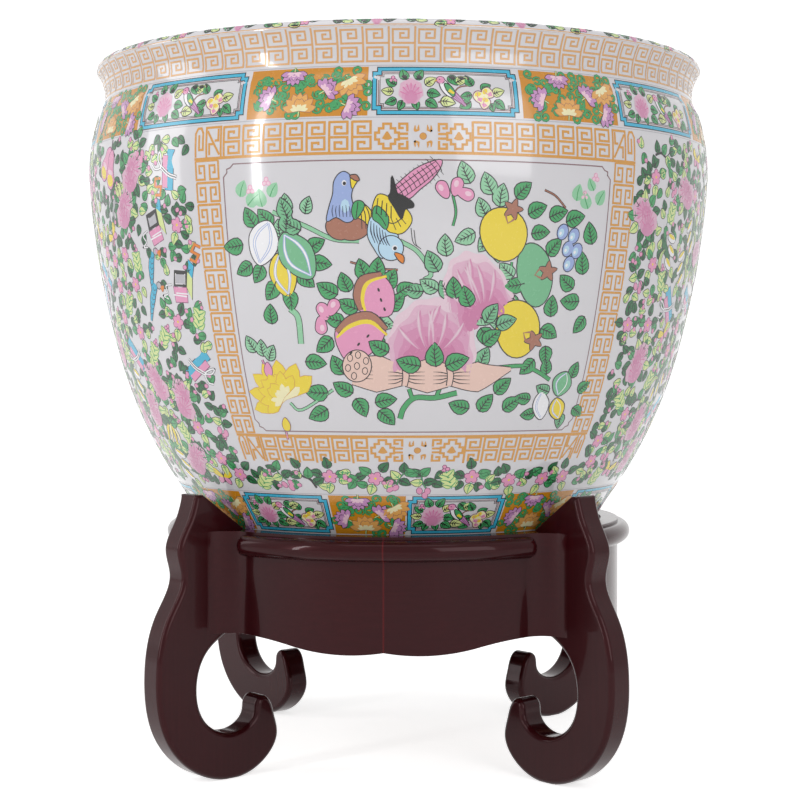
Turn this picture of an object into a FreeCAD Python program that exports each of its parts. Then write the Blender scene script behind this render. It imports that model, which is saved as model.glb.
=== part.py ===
import FreeCAD, Part

import os
import re

import Sketcher

# A porcelain fish-bowl jardiniere standing in a lacquered wooden stand.
# Frame: origin on the floor under the centre of the stand, +Z up, the painted front towards -Y.
# The four legs stand on the diagonals; four fronts of two apron halves each join them.

Vector = FreeCAD.Vector
UP = Vector(0, 0, 1)

doc = FreeCAD.newDocument("jardiniere_on_stand")

# ---------------------------------------------------------------- sizes, in millimetres

SIZES = [
    # stand: ring of aprons
    ("apron_thickness", 21.0, "aprons, face to back"),
    ("ring_top", 189.5, "top of the ring above the floor"),
    ("arch_drop", 77.5, "from the top of the ring to the highest point of the lower edge"),
    ("cusp_drop", 84.9, "from the top of the ring to the point in the middle of a lower edge"),
    ("ogee_drop", 82.5, "from the top of the ring to where the lower edge turns from belly to arch"),
    ("ogee_place", 70.0, "from the middle of a front to that turn"),
    ("ogee_low_radius", 180.0, "radius of the hanging part of the lower edge"),
    ("ogee_high_radius", 200.0, "radius of the rising part of the lower edge"),
    ("ear_sweep", 24.0, "radius of the hollow sweep from apron to leg"),
    ("bowl_clearance", 5.0, "between the bowl's flank and the bevelled mouth of the ring"),
    ("bevel_width", 7.3, "bevel of the mouth, from its edge in to the inner face of the ring"),
    # stand: beads
    ("bead_set_down", 2.5, "from the top of the ring to the top of the bead"),
    ("bead_height", 15.5, "bead, top to bottom"),
    ("bead_flat", 4.0, "depth of the bead's flat top and underside"),
    ("bead_curve", 8.1, "radius of the bead's rounded face"),
    # stand: legs; reaches are from the apron's face, outwards
    ("leg_thickness", 22.0, "legs, flank to flank"),
    ("leg_rounding", 4.0, "rounded arrises of the legs"),
    ("horn_reach", 30.5, "tip of the horn"),
    ("horn_rise", 28.0, "tip of the horn above the ring"),
    ("horn_back", 6.0, "width of the horn's tip"),
    ("horn_side_reach", 36.2, "outer edge, below the tip"),
    ("horn_side_rise", 10.0, "outer edge, below the tip, above the ring"),
    ("bulge_reach", 45.7, "outer edge, beside the bead"),
    ("bulge_drop", 13.0, "the bulge, below the top of the ring"),
    ("waist_reach", 42.0, "outer edge, at the waist"),
    ("waist_drop", 32.5, "the waist, below the top of the ring"),
    ("flare_reach", 54.0, "outer edge, under the waist"),
    ("flare_drop", 60.5, "the flare, below the top of the ring"),
    ("knee_reach", 64.7, "widest point of the leg"),
    ("knee_height", 84.0, "widest point of the leg above the floor"),
    ("heel_reach", 56.0, "outer edge, turning under"),
    ("heel_height", 36.0, "outer edge, turning under, above the floor"),
    ("step_reach", 30.5, "outer edge, close to the floor"),
    ("step_height", 9.0, "outer edge, close to the floor, above the floor"),
    ("sole_inset", 0.0, "middle of the sole, inwards"),
    ("sole_cut", 0.8, "depth planed off the round sole so that the leg stands flat"),
    ("toe_inset", 32.0, "sole, rising inwards"),
    ("toe_height", 7.5, "sole, rising inwards, above the floor"),
    ("scroll_inset", 47.2, "innermost point of the scroll"),
    ("scroll_height", 29.0, "innermost point of the scroll above the floor"),
    ("curl_inset", 44.0, "inner side of the curl"),
    ("curl_height", 44.0, "inner side of the curl above the floor"),
    ("tip_inset", 33.0, "top of the curl"),
    ("tip_height", 59.5, "top of the curl above the floor"),
    ("tip_width", 12.0, "width of the curl's round tip"),
    ("tip_fall", 3.5, "from the top of the curl down to that width"),
    ("nape_inset", 25.0, "back of the curl"),
    ("nape_height", 46.0, "back of the curl above the floor"),
    ("root_inset", 18.5, "where the curl grows out of the foot"),
    ("root_height", 38.6, "that root above the floor"),
    ("hollow_reach", 3.0, "lowest point of the foot's hollow"),
    ("hollow_height", 35.5, "lowest point of the foot's hollow above the floor"),
    ("bend_reach", 22.0, "foot's hollow, turning up"),
    ("bend_height", 47.5, "foot's hollow, turning up, above the floor"),
    ("shank_reach", 28.8, "inner edge of the shank"),
    ("shank_height", 70.0, "inner edge of the shank above the floor"),
    ("armpit_reach", 20.0, "inner edge, under the arch"),
    ("armpit_drop", 14.5, "inner edge, under the arch, below the arch"),
    # stand: inner carcase
    ("rail_drop", 71.5, "from the top of the ring to the underside of the rails"),
    ("rail_height", 20.0, "crossed rails, top to bottom"),
    ("rail_width", 40.0, "crossed rails, side to side"),
    ("tenon_length", 15.0, "rail tenons"),
    ("tenon_width", 10.0, "rail tenons, across the leg"),
    ("tenon_height", 12.0, "rail tenons, top to bottom"),
    ("tenon_fit", 0.1, "gap round a tenon in its mortise"),
    ("dowel_radius", 5.0, "leg dowels"),
    ("dowel_reach", 20.0, "length of a dowel in each apron"),
    ("dowel_fit", 0.05, "gap round a dowel"),
    ("dowel_high_drop", 22.5, "upper dowel, below the top of the ring"),
    ("dowel_low_drop", 43.5, "lower dowel, below the top of the ring"),
    ("block_width", 50.0, "glue blocks behind the seams, along the apron"),
    ("block_height", 22.0, "glue blocks, top to bottom"),
    ("block_depth", 16.0, "glue blocks, front to back"),
    ("block_drop", 79.0, "from the top of the ring to the underside of the blocks"),
    ("screw_radius", 2.0, "screw through the crossing of the rails"),
    ("screw_length", 17.0, "that screw, head included"),
    ("screw_head_radius", 4.0, "its countersunk head"),
    ("screw_head_height", 2.6, "its countersunk head"),
    # bowl: each step and height is from the place named before it, up from the foot
    ("foot_radius", 128.0, "outside of the foot"),
    ("foot_ring", 14.0, "width of the foot's unglazed ring"),
    ("foot_recess", 3.0, "hollow under the foot"),
    ("flank_radius", 186.0, "outside, at the top of the straight flank"),
    ("flank_height", 87.0, "straight flank, from the foot up"),
    ("belly_radius", 231.5, "outside, on the belly"),
    ("belly_height", 105.0, "from the flank up to that point of the belly"),
    ("belly_curve", 370.0, "radius of the profile, flank to belly"),
    ("girth_radius", 254.0, "largest radius of the bowl"),
    ("girth_height", 134.0, "from the belly up to the largest radius"),
    ("girth_curve", 690.0, "radius of the profile, belly to girth"),
    ("shoulder_step", 7.6, "shoulder, where it turns into the neck, inside the girth"),
    ("shoulder_height", 52.0, "from the girth up to that turn"),
    ("shoulder_curve", 150.0, "radius of the profile over the shoulder"),
    ("neck_step", 5.2, "narrowest part of the neck, inside that turn"),
    ("neck_height", 15.0, "from the shoulder up to the narrowest part"),
    ("neck_curve", 33.0, "radius of the hollow round the neck"),
    ("lip_flare", 6.8, "lip, beyond the neck"),
    ("lip_height", 20.5, "from the neck up to the outer edge of the lip"),
    ("lip_curve", 40.0, "radius of the hollow under the lip"),
    ("rim_step", 4.5, "crest of the rim, inside the edge of the lip"),
    ("rim_height", 6.0, "from the edge of the lip up to the crest, the top of the bowl"),
    ("rim_curve", 7.0, "radius over the edge of the rim"),
    ("rim_width", 17.0, "flat of the rim, from the crest inwards"),
    ("wall", 10.0, "wall of the bowl"),
    ("base", 12.0, "bottom of the bowl"),
]

sheet = doc.addObject("Spreadsheet::Sheet", "Sizes")
for row, (name, millimetres, meaning) in enumerate(SIZES, start=1):
    sheet.set("A%d" % row, name)
    sheet.set("B%d" % row, "%g" % millimetres)
    sheet.set("C%d" % row, meaning)
    sheet.setAlias("B%d" % row, name)
doc.recompute()


ALIASES = {name for name, _, _ in SIZES}


def of(expression):
    """Write the aliases in an expression as references to the sheet."""
    return re.sub(r"[a-z_]+", lambda word: "Sizes." + word[0] if word[0] in ALIASES else word[0], expression)


# ---------------------------------------------------------------- dimensions that follow from the sizes

ARCH = "(ring_top - arch_drop)"
RAIL_UNDERSIDE = "(ring_top - rail_drop)"
SEAT = "(ring_top - rail_drop + rail_height)"
HALF_LEG = "(leg_thickness / 2)"
FLANK_SLOPE = "((flank_radius - foot_radius) / flank_height)"
# the ring follows the bowl's flank: its mouth, the inner face and the outer face of its aprons
MOUTH = f"(foot_radius + {FLANK_SLOPE} * (ring_top - {SEAT}) + bowl_clearance)"
RING_INSIDE = f"({MOUTH} - bevel_width)"
APRON = f"({RING_INSIDE} + apron_thickness)"
BEVEL_FOOT = f"(ring_top - bevel_width / {FLANK_SLOPE})"
DOWEL_PLACE = f"({RING_INSIDE} + apron_thickness / 2)"
# the hollow sweep's axis stands this far along the leg, and touches the apron's face at EAR_END
SWEEP_PLACE = f"(sqrt(({APRON} + ear_sweep) ^ 2 - ({HALF_LEG} + ear_sweep) ^ 2))"
EAR_SHARE = f"({APRON} / ({APRON} + ear_sweep))"
EAR_END = (f"{SWEEP_PLACE} * {EAR_SHARE}", f"({HALF_LEG} + ear_sweep) * {EAR_SHARE}")
QUARTER = 90.0
EIGHTH = 45.0
DIAGONAL = 0.5 ** 0.5  # a radius of 1 on the diagonal, along either axis
OVERRUN = 10.0  # how far a cutting shape runs past what it cuts
SAME_PLACE = 1e-6
FRONTS = {"front": 270.0, "right": 0.0, "back": 90.0, "left": 180.0}
LEGS = {"front_right": 315.0, "back_right": 45.0, "back_left": 135.0, "front_left": 225.0}


# ---------------------------------------------------------------- drawing helpers

def number(expression):
    """The value of an expression of sizes."""
    return float(sheet.evalExpression(expression))


def point(place):
    return Vector(number(place[0]), number(place[1]), 0)


def arc_through(start, end, radius):
    """Arc of a circle from start to end; it bulges to the right of travel, or to the left if radius < 0."""
    chord = end - start
    middle = (start + end) / 2
    rightward = Vector(chord.y, -chord.x, 0).normalize()
    rise = abs(radius) - (radius ** 2 - chord.Length ** 2 / 4) ** 0.5
    if radius < 0:
        rise = -rise
    return Part.Arc(start, middle + rightward * rise, end)


def draw(sketch, corners, edges=None):
    """Draw a closed outline and bind its corners and radii to the sheet.

    corners: (across, up) expressions. edges: for each corner the edge that leaves it: None for a straight
    line, a radius expression (led by "-" for an arc that bulges left), or a list of corners for a fair curve.
    """
    edges = edges or [None] * len(corners)
    ends = []
    blocked = set()
    for index, (corner, edge) in enumerate(zip(corners, edges)):
        start = point(corner)
        end = point(corners[(index + 1) % len(corners)])
        if isinstance(edge, list):
            fair = Part.BSplineCurve()
            places = [start] + [point(place) for place in edge] + [end]
            fair.interpolate(places)
            spans = [fair.parameter(place) for place in places]
            for low, high in zip(spans, spans[1:]):
                span = fair.copy()
                span.segment(low, high)
                drawn = sketch.addGeometry(span, False)
                sketch.addConstraint(Sketcher.Constraint("Block", drawn))
                ends.append((drawn, 1, 2))
            blocked.update((index, (index + 1) % len(corners)))
            continue
        straight = edge is None
        drawn = sketch.addGeometry(
            Part.LineSegment(start, end) if straight else arc_through(start, end, number(edge)), False)
        begins_here = sketch.getPoint(drawn, 1).distanceToPoint(start) < SAME_PLACE
        ends.append((drawn, 1, 2) if begins_here else (drawn, 2, 1))
        if not straight:
            radius = sketch.addConstraint(Sketcher.Constraint("Radius", drawn, abs(number(edge))))
            sketch.setExpression("Constraints[%d]" % radius, of(edge.lstrip("-")))
    for index, (drawn, _, last) in enumerate(ends):
        follower = ends[(index + 1) % len(ends)]
        sketch.addConstraint(Sketcher.Constraint("Coincident", drawn, last, follower[0], follower[1]))
    for index, corner in enumerate(corners):
        if index in blocked:
            continue
        drawn, first, _ = ends[index]
        for kind, axis, expression in (("DistanceX", -2, corner[0]), ("DistanceY", -1, corner[1])):
            if expression == "0":
                sketch.addConstraint(Sketcher.Constraint("PointOnObject", drawn, first, axis))
                continue
            bound = sketch.addConstraint(Sketcher.Constraint(kind, -1, 1, drawn, first, number(expression)))
            sketch.setExpression("Constraints[%d]" % bound, of(expression))


def sideways(hand, expression):
    """The expression on the side that hand names, +1 or -1."""
    return expression if hand > 0 else f"-1 * ({expression})"


def new_body(label, turn=0.0):
    body = doc.addObject("PartDesign::Body", label)
    body.Label = label
    body.Placement = FreeCAD.Placement(Vector(), FreeCAD.Rotation(UP, turn))
    return body


def new_sketch(body, plane, name, turn=0.0, height=None):
    """A sketch on one of the body's planes, turned about the vertical and raised."""
    sketch = body.newObject("Sketcher::SketchObject", name)
    origin = [item for item in body.Origin.OriginFeatures if item.Role == plane][0]
    sketch.AttachmentSupport = (origin, [""])
    sketch.MapMode = "FlatFace"
    vertical = UP if plane == "XY_Plane" else Vector(0, 1, 0)
    sketch.AttachmentOffset = FreeCAD.Placement(Vector(), FreeCAD.Rotation(vertical, turn))
    if height:
        sketch.setExpression("AttachmentOffset.Base.z", of(height))
    doc.recompute()
    return sketch


def pad(body, sketch, length, centred=False):
    feature = body.newObject("PartDesign::Pad", "Pad")
    feature.Profile = sketch
    feature.Midplane = centred
    feature.setExpression("Length", of(length))
    doc.recompute()
    return feature


def pocket(body, sketch, length=None, centred=False, reverse=False):
    """Cut a sketch's shape out, to a length or through everything, and make sure that something went."""
    before = body.Shape.Volume
    feature = body.newObject("PartDesign::Pocket", "Pocket")
    feature.Profile = sketch
    feature.Midplane = centred
    feature.Reversed = reverse
    if length:
        feature.setExpression("Length", of(length))
    else:
        feature.Type = "ThroughAll"
    doc.recompute()
    if not body.Shape.Volume < before:
        raise RuntimeError("a pocket in %s cuts nothing" % body.Label)
    return feature


def turned(body, sketch, kind, angle, centred=False):
    """Turn a sketch about the vertical, as material (Revolution) or as a cut (Groove)."""
    feature = body.newObject("PartDesign::" + kind, kind)
    feature.Profile = sketch
    feature.ReferenceAxis = (sketch, ["V_Axis"])
    feature.Angle = angle
    feature.Midplane = centred
    doc.recompute()
    return feature


# ---------------------------------------------------------------- bowl

def make_bowl():
    """One body of revolution: foot ring, straight flank, belly, shoulder, hollow neck, flared rim."""
    flank = f"({SEAT} + flank_height)"
    belly = f"({flank} + belly_height)"
    girth = f"({belly} + girth_height)"
    shoulder = f"({girth} + shoulder_height)"
    neck = f"({shoulder} + neck_height)"
    lip = f"({neck} + lip_height)"
    rim = f"({lip} + rim_height)"
    neck_radius = "(girth_radius - shoulder_step - neck_step)"
    rim_radius = f"({neck_radius} + lip_flare - rim_step)"

    body = new_body("bowl")
    outline = new_sketch(body, "XZ_Plane", "BowlProfile")
    corners = [
        ("0", f"{SEAT} + foot_recess"),
        ("foot_radius - foot_ring", f"{SEAT} + foot_recess"),
        ("foot_radius - foot_ring", SEAT),
        ("foot_radius", SEAT),
        ("flank_radius", flank),
        ("belly_radius", belly),
        ("girth_radius", girth),
        ("girth_radius - shoulder_step", shoulder),
        (neck_radius, neck),
        (f"{neck_radius} + lip_flare", lip),
        (rim_radius, rim),
        (f"{rim_radius} - rim_width", rim),
        (f"{neck_radius} - wall", neck),
        ("girth_radius - wall", girth),
        ("belly_radius - wall", belly),
        ("flank_radius - wall", flank),
        ("foot_radius - wall", f"{SEAT} + foot_recess + base"),
        ("0", f"{SEAT} + foot_recess + base"),
    ]
    edges = [None] * len(corners)
    edges[4] = "belly_curve"
    edges[5] = "girth_curve"
    edges[6] = "shoulder_curve"
    edges[7] = "-neck_curve"
    edges[8] = "-lip_curve"
    edges[9] = "rim_curve"
    edges[12] = "-(shoulder_curve + wall)"
    edges[13] = "-girth_curve"
    edges[14] = "-belly_curve"
    draw(outline, corners, edges)
    turned(body, outline, "Revolution", 360)
    return body


# ---------------------------------------------------------------- stand

def make_leg(label, turn):
    """A board on edge, cut to a scroll: horn, bulge, waist, knee and curled foot; X runs outwards."""
    def out(reach):
        return f"{APRON} + {reach}"

    def inn(inset):
        return f"{APRON} - {inset}"

    def above(height):
        return f"ring_top + {height}"

    def below(drop):
        return f"ring_top - {drop}"

    body = new_body(label, turn)
    outline = new_sketch(body, "XZ_Plane", "LegOutline")
    horn_tip = (out("horn_reach"), above("horn_rise"))
    scroll = [
        (out("horn_side_reach"), above("horn_side_rise")),
        (out("bulge_reach"), below("bulge_drop")),
        (out("waist_reach"), below("waist_drop")),
        (out("flare_reach"), below("flare_drop")),
        (out("knee_reach"), "knee_height"),
        (out("heel_reach"), "heel_height"),
        (out("step_reach"), "step_height"),
        (inn("sole_inset"), "-1 * sole_cut"),
        (inn("toe_inset"), "toe_height"),
        (inn("scroll_inset"), "scroll_height"),
        (inn("curl_inset"), "curl_height"),
        (inn("(tip_inset + tip_width / 2)"), "tip_height - tip_fall"),
        (inn("tip_inset"), "tip_height"),
        (inn("(tip_inset - tip_width / 2)"), "tip_height - tip_fall"),
        (inn("nape_inset"), "nape_height"),
        (inn("root_inset"), "root_height"),
        (out("hollow_reach"), "hollow_height"),
        (out("bend_reach"), "bend_height"),
        (out("shank_reach"), "shank_height"),
        (out("armpit_reach"), f"{ARCH} - armpit_drop"),
    ]
    corners = [
        (APRON, ARCH),
        (RING_INSIDE, ARCH),
        (RING_INSIDE, BEVEL_FOOT),
        (MOUTH, "ring_top"),
        (out("horn_reach - horn_back"), above("horn_rise")),
        horn_tip,
    ]
    draw(outline, corners, [None, None, None, None, None, scroll])
    board = pad(body, outline, "leg_thickness", centred=True)

    rounding = body.newObject("PartDesign::Fillet", "Rounding")
    arrises = [
        "Edge%d" % index for index, edge in enumerate(board.Shape.Edges, start=1)
        if edge.Curve.TypeId == "Part::GeomBSplineCurve"
    ]
    rounding.Base = (board, arrises)
    rounding.setExpression("Radius", of("leg_rounding"))
    doc.recompute()

    sole = new_sketch(body, "XZ_Plane", "SoleCut")
    draw(sole, [
        (inn("scroll_inset"), "0"),
        (inn("scroll_inset"), f"-1 * sole_cut - {OVERRUN}"),
        (out("knee_reach"), f"-1 * sole_cut - {OVERRUN}"),
        (out("knee_reach"), "0"),
    ])
    pocket(body, sole, centred=True)

    dowel_holes = new_sketch(body, "XZ_Plane", "DowelHoles")
    circle_pair(dowel_holes)
    pocket(body, dowel_holes, centred=True)

    mortise = new_sketch(body, "XZ_Plane", "Mortise")
    middle = f"{RAIL_UNDERSIDE} + rail_height / 2"
    draw(mortise, [
        (f"{RING_INSIDE} - {OVERRUN}", f"{middle} - tenon_height / 2 - tenon_fit"),
        (f"{RING_INSIDE} + tenon_length + tenon_fit", f"{middle} - tenon_height / 2 - tenon_fit"),
        (f"{RING_INSIDE} + tenon_length + tenon_fit", f"{middle} + tenon_height / 2 + tenon_fit"),
        (f"{RING_INSIDE} - {OVERRUN}", f"{middle} + tenon_height / 2 + tenon_fit"),
    ])
    pocket(body, mortise, "tenon_width + 2 * tenon_fit", centred=True)
    return body


def circle_pair(sketch):
    """The two dowel holes, one above the other."""
    for drop in ("dowel_high_drop", "dowel_low_drop"):
        centre = (DOWEL_PLACE, f"ring_top - {drop}")
        hole = sketch.addGeometry(Part.Circle(point(centre), UP, number("dowel_radius + dowel_fit")), False)
        for kind, expression in (("DistanceX", centre[0]), ("DistanceY", centre[1])):
            bound = sketch.addConstraint(Sketcher.Constraint(kind, -1, 1, hole, 3, number(expression)))
            sketch.setExpression("Constraints[%d]" % bound, of(expression))
        radius = sketch.addConstraint(Sketcher.Constraint("Radius", hole, number("dowel_radius + dowel_fit")))
        sketch.setExpression("Constraints[%d]" % radius, of("dowel_radius + dowel_fit"))


def make_apron_half(label, leg_turn, hand):
    """Half a front, from a leg's flank to the seam; X runs along the leg, hand is the side it lies on."""
    body = new_body(label, leg_turn)
    plan = new_sketch(body, "XY_Plane", "ApronPlan", height="ring_top - cusp_drop - ear_sweep")
    corners = [
        (f"sqrt({RING_INSIDE} ^ 2 - {HALF_LEG} ^ 2)", sideways(hand, HALF_LEG)),
        (SWEEP_PLACE, sideways(hand, HALF_LEG)),
        (EAR_END[0], sideways(hand, EAR_END[1])),
        (f"{APRON} * {DIAGONAL}", sideways(hand, f"{APRON} * {DIAGONAL}")),
        (f"{RING_INSIDE} * {DIAGONAL}", sideways(hand, f"{RING_INSIDE} * {DIAGONAL}")),
    ]
    if hand > 0:
        edges = [None, "-ear_sweep", APRON, None, f"-{RING_INSIDE}"]
    else:
        edges = [None, "ear_sweep", f"-{APRON}", None, RING_INSIDE]
    draw(plan, corners, edges)
    pad(body, plan, "cusp_drop + ear_sweep")

    # the lower edge: a hanging belly beside the seam, then an arch up to the leg
    lower_edge = new_sketch(body, "XZ_Plane", "LowerEdge", turn=-hand * EIGHTH)
    base = f"ring_top - cusp_drop - ear_sweep - {OVERRUN}"
    reach = f"{SWEEP_PLACE} * {DIAGONAL} + ear_sweep"
    draw(
        lower_edge,
        [
            (f"-1 * {OVERRUN}", base),
            (reach, base),
            (reach, ARCH),
            (f"{APRON} * {DIAGONAL}", ARCH),
            ("ogee_place", "ring_top - ogee_drop"),
            ("0", "ring_top - cusp_drop"),
            (f"-1 * {OVERRUN}", "ring_top - cusp_drop"),
        ],
        [None, None, None, "ogee_high_radius", "-ogee_low_radius", None, None],
    )
    pocket(body, lower_edge, reverse=hand < 0)

    bevel = new_sketch(body, "XZ_Plane", "MouthBevel")
    draw(bevel, [
        (f"{RING_INSIDE} - {OVERRUN}", BEVEL_FOOT),
        (RING_INSIDE, BEVEL_FOOT),
        (MOUTH, "ring_top"),
        (MOUTH, f"ring_top + {OVERRUN}"),
        (f"{RING_INSIDE} - {OVERRUN}", f"ring_top + {OVERRUN}"),
    ])
    turned(body, bevel, "Groove", 360)

    dowel_holes = new_sketch(body, "XZ_Plane", "DowelHoles")
    circle_pair(dowel_holes)
    pocket(body, dowel_holes, f"{HALF_LEG} + dowel_reach + dowel_fit", reverse=hand < 0)
    return body


def make_bead(label, turn):
    """A half-round moulding bent round the top of a front, scribed at both ends to the hollow sweeps."""
    body = new_body(label, turn)
    section = new_sketch(body, "XZ_Plane", "BeadSection")
    top = "ring_top - bead_set_down"
    low = "ring_top - bead_set_down - bead_height"
    flat = f"{APRON} + bead_flat"
    draw(
        section,
        [(APRON, low), (flat, low), (flat, top), (APRON, top)],
        [None, "bead_curve", None, None],
    )
    turned(body, section, "Revolution", QUARTER, centred=True)
    for hand in (1, -1):
        scribe = new_sketch(body, "XY_Plane", "Scribe", turn=-hand * EIGHTH)
        inner = f"{EAR_END[0]} - apron_thickness"
        outer = f"{SWEEP_PLACE} + ear_sweep"
        beyond = sideways(hand, "-1 * ear_sweep")
        draw(
            scribe,
            [
                (inner, sideways(hand, EAR_END[1])),
                (inner, beyond),
                (outer, beyond),
                (outer, sideways(hand, HALF_LEG)),
                (SWEEP_PLACE, sideways(hand, HALF_LEG)),
                (EAR_END[0], sideways(hand, EAR_END[1])),
            ],
            [None, None, None, None, "-ear_sweep" if hand > 0 else "ear_sweep", None],
        )
        pocket(body, scribe, reverse=True)
    return body


def make_box(name, length, width, height, corner):
    """A box centred on Y = 0, with its low X face and its underside at the given places."""
    box = doc.addObject("Part::Box", name)
    box.setExpression("Length", of(length))
    box.setExpression("Width", of(width))
    box.setExpression("Height", of(height))
    box.setExpression("Placement.Base.x", of(corner[0]))
    box.setExpression("Placement.Base.y", of(f"-1 * ({width}) / 2"))
    box.setExpression("Placement.Base.z", of(corner[1]))
    return box


def combine(kind, name, base, tool):
    feature = doc.addObject("Part::" + kind, name)
    feature.Base = base
    feature.Tool = tool
    doc.recompute()
    return feature


def make_screw(name):
    """A countersunk screw driven up through the crossing; the same form cuts its hole."""
    head = doc.addObject("Part::Cone", name + "_head")
    head.setExpression("Radius1", of("screw_head_radius"))
    head.setExpression("Radius2", of("screw_radius"))
    head.setExpression("Height", of("screw_head_height"))
    shank = doc.addObject("Part::Cylinder", name + "_shank")
    shank.setExpression("Radius", of("screw_radius"))
    shank.setExpression("Height", of("screw_length"))
    for piece in (head, shank):
        piece.setExpression("Placement.Base.z", of(RAIL_UNDERSIDE))
    return combine("Fuse", name, head, shank)


def make_ring_core(name, underside, height):
    """The round space inside the aprons, as a solid between two heights."""
    core = doc.addObject("Part::Cylinder", name)
    core.setExpression("Radius", of(RING_INSIDE))
    core.setExpression("Height", of(height))
    core.setExpression("Placement.Base.z", of(underside))
    return core


def make_rail(label, turn, notch_low):
    """A rail across the ring, tenoned into two opposite legs and halved where the two rails cross."""
    length = f"2 * {RING_INSIDE}"
    blank = make_box(
        label + "_blank", length, "rail_width", "rail_height", (f"-1 * {RING_INSIDE}", RAIL_UNDERSIDE))
    core = make_ring_core(label + "_core", RAIL_UNDERSIDE, "rail_height")
    beam = combine("Common", label + "_beam", blank, core)
    tenons = make_box(
        label + "_tenons", f"{length} + 2 * tenon_length", "tenon_width", "tenon_height",
        (f"-1 * {RING_INSIDE} - tenon_length", f"{RAIL_UNDERSIDE} + rail_height / 2 - tenon_height / 2"),
    )
    rail = combine("Fuse", label + "_tenoned", beam, tenons)
    notch = make_box(
        label + "_notch", "rail_width", "rail_width", "rail_height / 2", ("-1 * rail_width / 2", notch_low))
    rail = combine("Cut", label + "_halved", rail, notch)
    rail = combine("Cut", label, rail, make_screw(label + "_hole"))
    rail.Label = label
    rail.Placement = FreeCAD.Placement(Vector(), FreeCAD.Rotation(UP, turn))
    return rail


def make_block(label, turn):
    """A glue block that backs the seam in the middle of a front, hollowed to the ring behind it."""
    low = "ring_top - block_drop"
    blank = make_box(
        label + "_blank", "block_depth + apron_thickness", "block_width", "block_height",
        (f"{RING_INSIDE} - block_depth", low),
    )
    core = make_ring_core(label + "_core", low, "block_height")
    block = combine("Common", label, blank, core)
    block.Label = label
    block.Placement = FreeCAD.Placement(Vector(), FreeCAD.Rotation(UP, turn))
    return block


def make_dowels(label, turn):
    """Two dowels right through a leg, with their ends in the aprons on both sides."""
    length = "leg_thickness + 2 * dowel_reach"
    dowels = []
    for place, drop in (("high", "dowel_high_drop"), ("low", "dowel_low_drop")):
        dowel = doc.addObject("Part::Cylinder", "%s_%s" % (label, place))
        dowel.setExpression("Radius", of("dowel_radius"))
        dowel.setExpression("Height", of(length))
        dowel.Placement.Rotation = FreeCAD.Rotation(Vector(1, 0, 0), -QUARTER)
        dowel.setExpression("Placement.Base.x", of(DOWEL_PLACE))
        dowel.setExpression("Placement.Base.y", of(f"-1 * ({length}) / 2"))
        dowel.setExpression("Placement.Base.z", of(f"ring_top - {drop}"))
        dowels.append(dowel)
    pair = doc.addObject("Part::Compound", label)
    pair.Links = dowels
    pair.Label = label
    pair.Placement = FreeCAD.Placement(Vector(), FreeCAD.Rotation(UP, turn))
    doc.recompute()
    return pair


# ---------------------------------------------------------------- the assembly

def make_all():
    pieces = [make_bowl()]
    for place, turn in LEGS.items():
        pieces.append(make_leg("leg_" + place, turn))
        pieces.append(make_dowels("dowels_" + place, turn))
    for side, turn in FRONTS.items():
        # seen from outside, the front's left half lies counter-clockwise of its left-hand leg
        pieces.append(make_apron_half("apron_%s_left" % side, turn - EIGHTH, 1))
        pieces.append(make_apron_half("apron_%s_right" % side, turn + EIGHTH, -1))
        pieces.append(make_bead("bead_" + side, turn))
        pieces.append(make_block("seam_block_" + side, turn))
    middle = f"{RAIL_UNDERSIDE} + rail_height / 2"
    pieces.append(make_rail("rail_lower", EIGHTH, middle))
    pieces.append(make_rail("rail_upper", -EIGHTH, RAIL_UNDERSIDE))
    screw = make_screw("rail_screw")
    screw.Label = "rail_screw"
    pieces.append(screw)
    doc.recompute()
    return pieces


def check(pieces):
    for item in doc.Objects:
        if "Invalid" in item.State or "Error" in item.State:
            raise RuntimeError("%s failed: %s" % (item.Label, item.State))
    for piece in pieces:
        if piece.Shape.isNull() or not piece.Shape.isValid() or not piece.Shape.Solids:
            raise RuntimeError("%s has no valid solid" % piece.Label)


def export(pieces):
    os.makedirs("parts", exist_ok=True)
    for piece in pieces:
        piece.Shape.exportStep("parts/%s.step" % piece.Label)


sub_parts = make_all()
check(sub_parts)
export(sub_parts)
for sub_part in sub_parts:
    box = sub_part.Shape.BoundBox
    print("%-20s solids %d  volume %9.0f mm3  z %.1f to %.1f" % (
        sub_part.Label, len(sub_part.Shape.Solids), sub_part.Shape.Volume, box.ZMin, box.ZMax))
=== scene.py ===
"""A painted porcelain fish bowl in a lacquered stand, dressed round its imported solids.

The bowl carries its decoration as thin fired enamel. A chart of the bowl's outside, angle round the
axis by millimetres up the profile, takes every painted shape, and one formula lays the chart on the bowl.
"""

import math

import bpy
import numpy as np
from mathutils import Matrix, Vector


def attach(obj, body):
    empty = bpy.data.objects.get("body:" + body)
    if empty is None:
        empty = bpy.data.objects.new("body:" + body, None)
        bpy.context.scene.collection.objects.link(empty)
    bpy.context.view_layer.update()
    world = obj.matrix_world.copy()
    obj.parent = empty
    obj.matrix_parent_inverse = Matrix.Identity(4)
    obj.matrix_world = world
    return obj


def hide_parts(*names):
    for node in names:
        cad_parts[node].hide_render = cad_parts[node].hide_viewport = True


bl_info = {
    "name": "Jardiniere on stand",
    "version": (1, 0, 0),
    "blender": (4, 5, 0),
    "location": "3D View > Sidebar > Jardiniere",
    "description": "Painted porcelain bowl and scrolled lacquer stand on the packed frame",
    "category": "Add Mesh",
}

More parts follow.
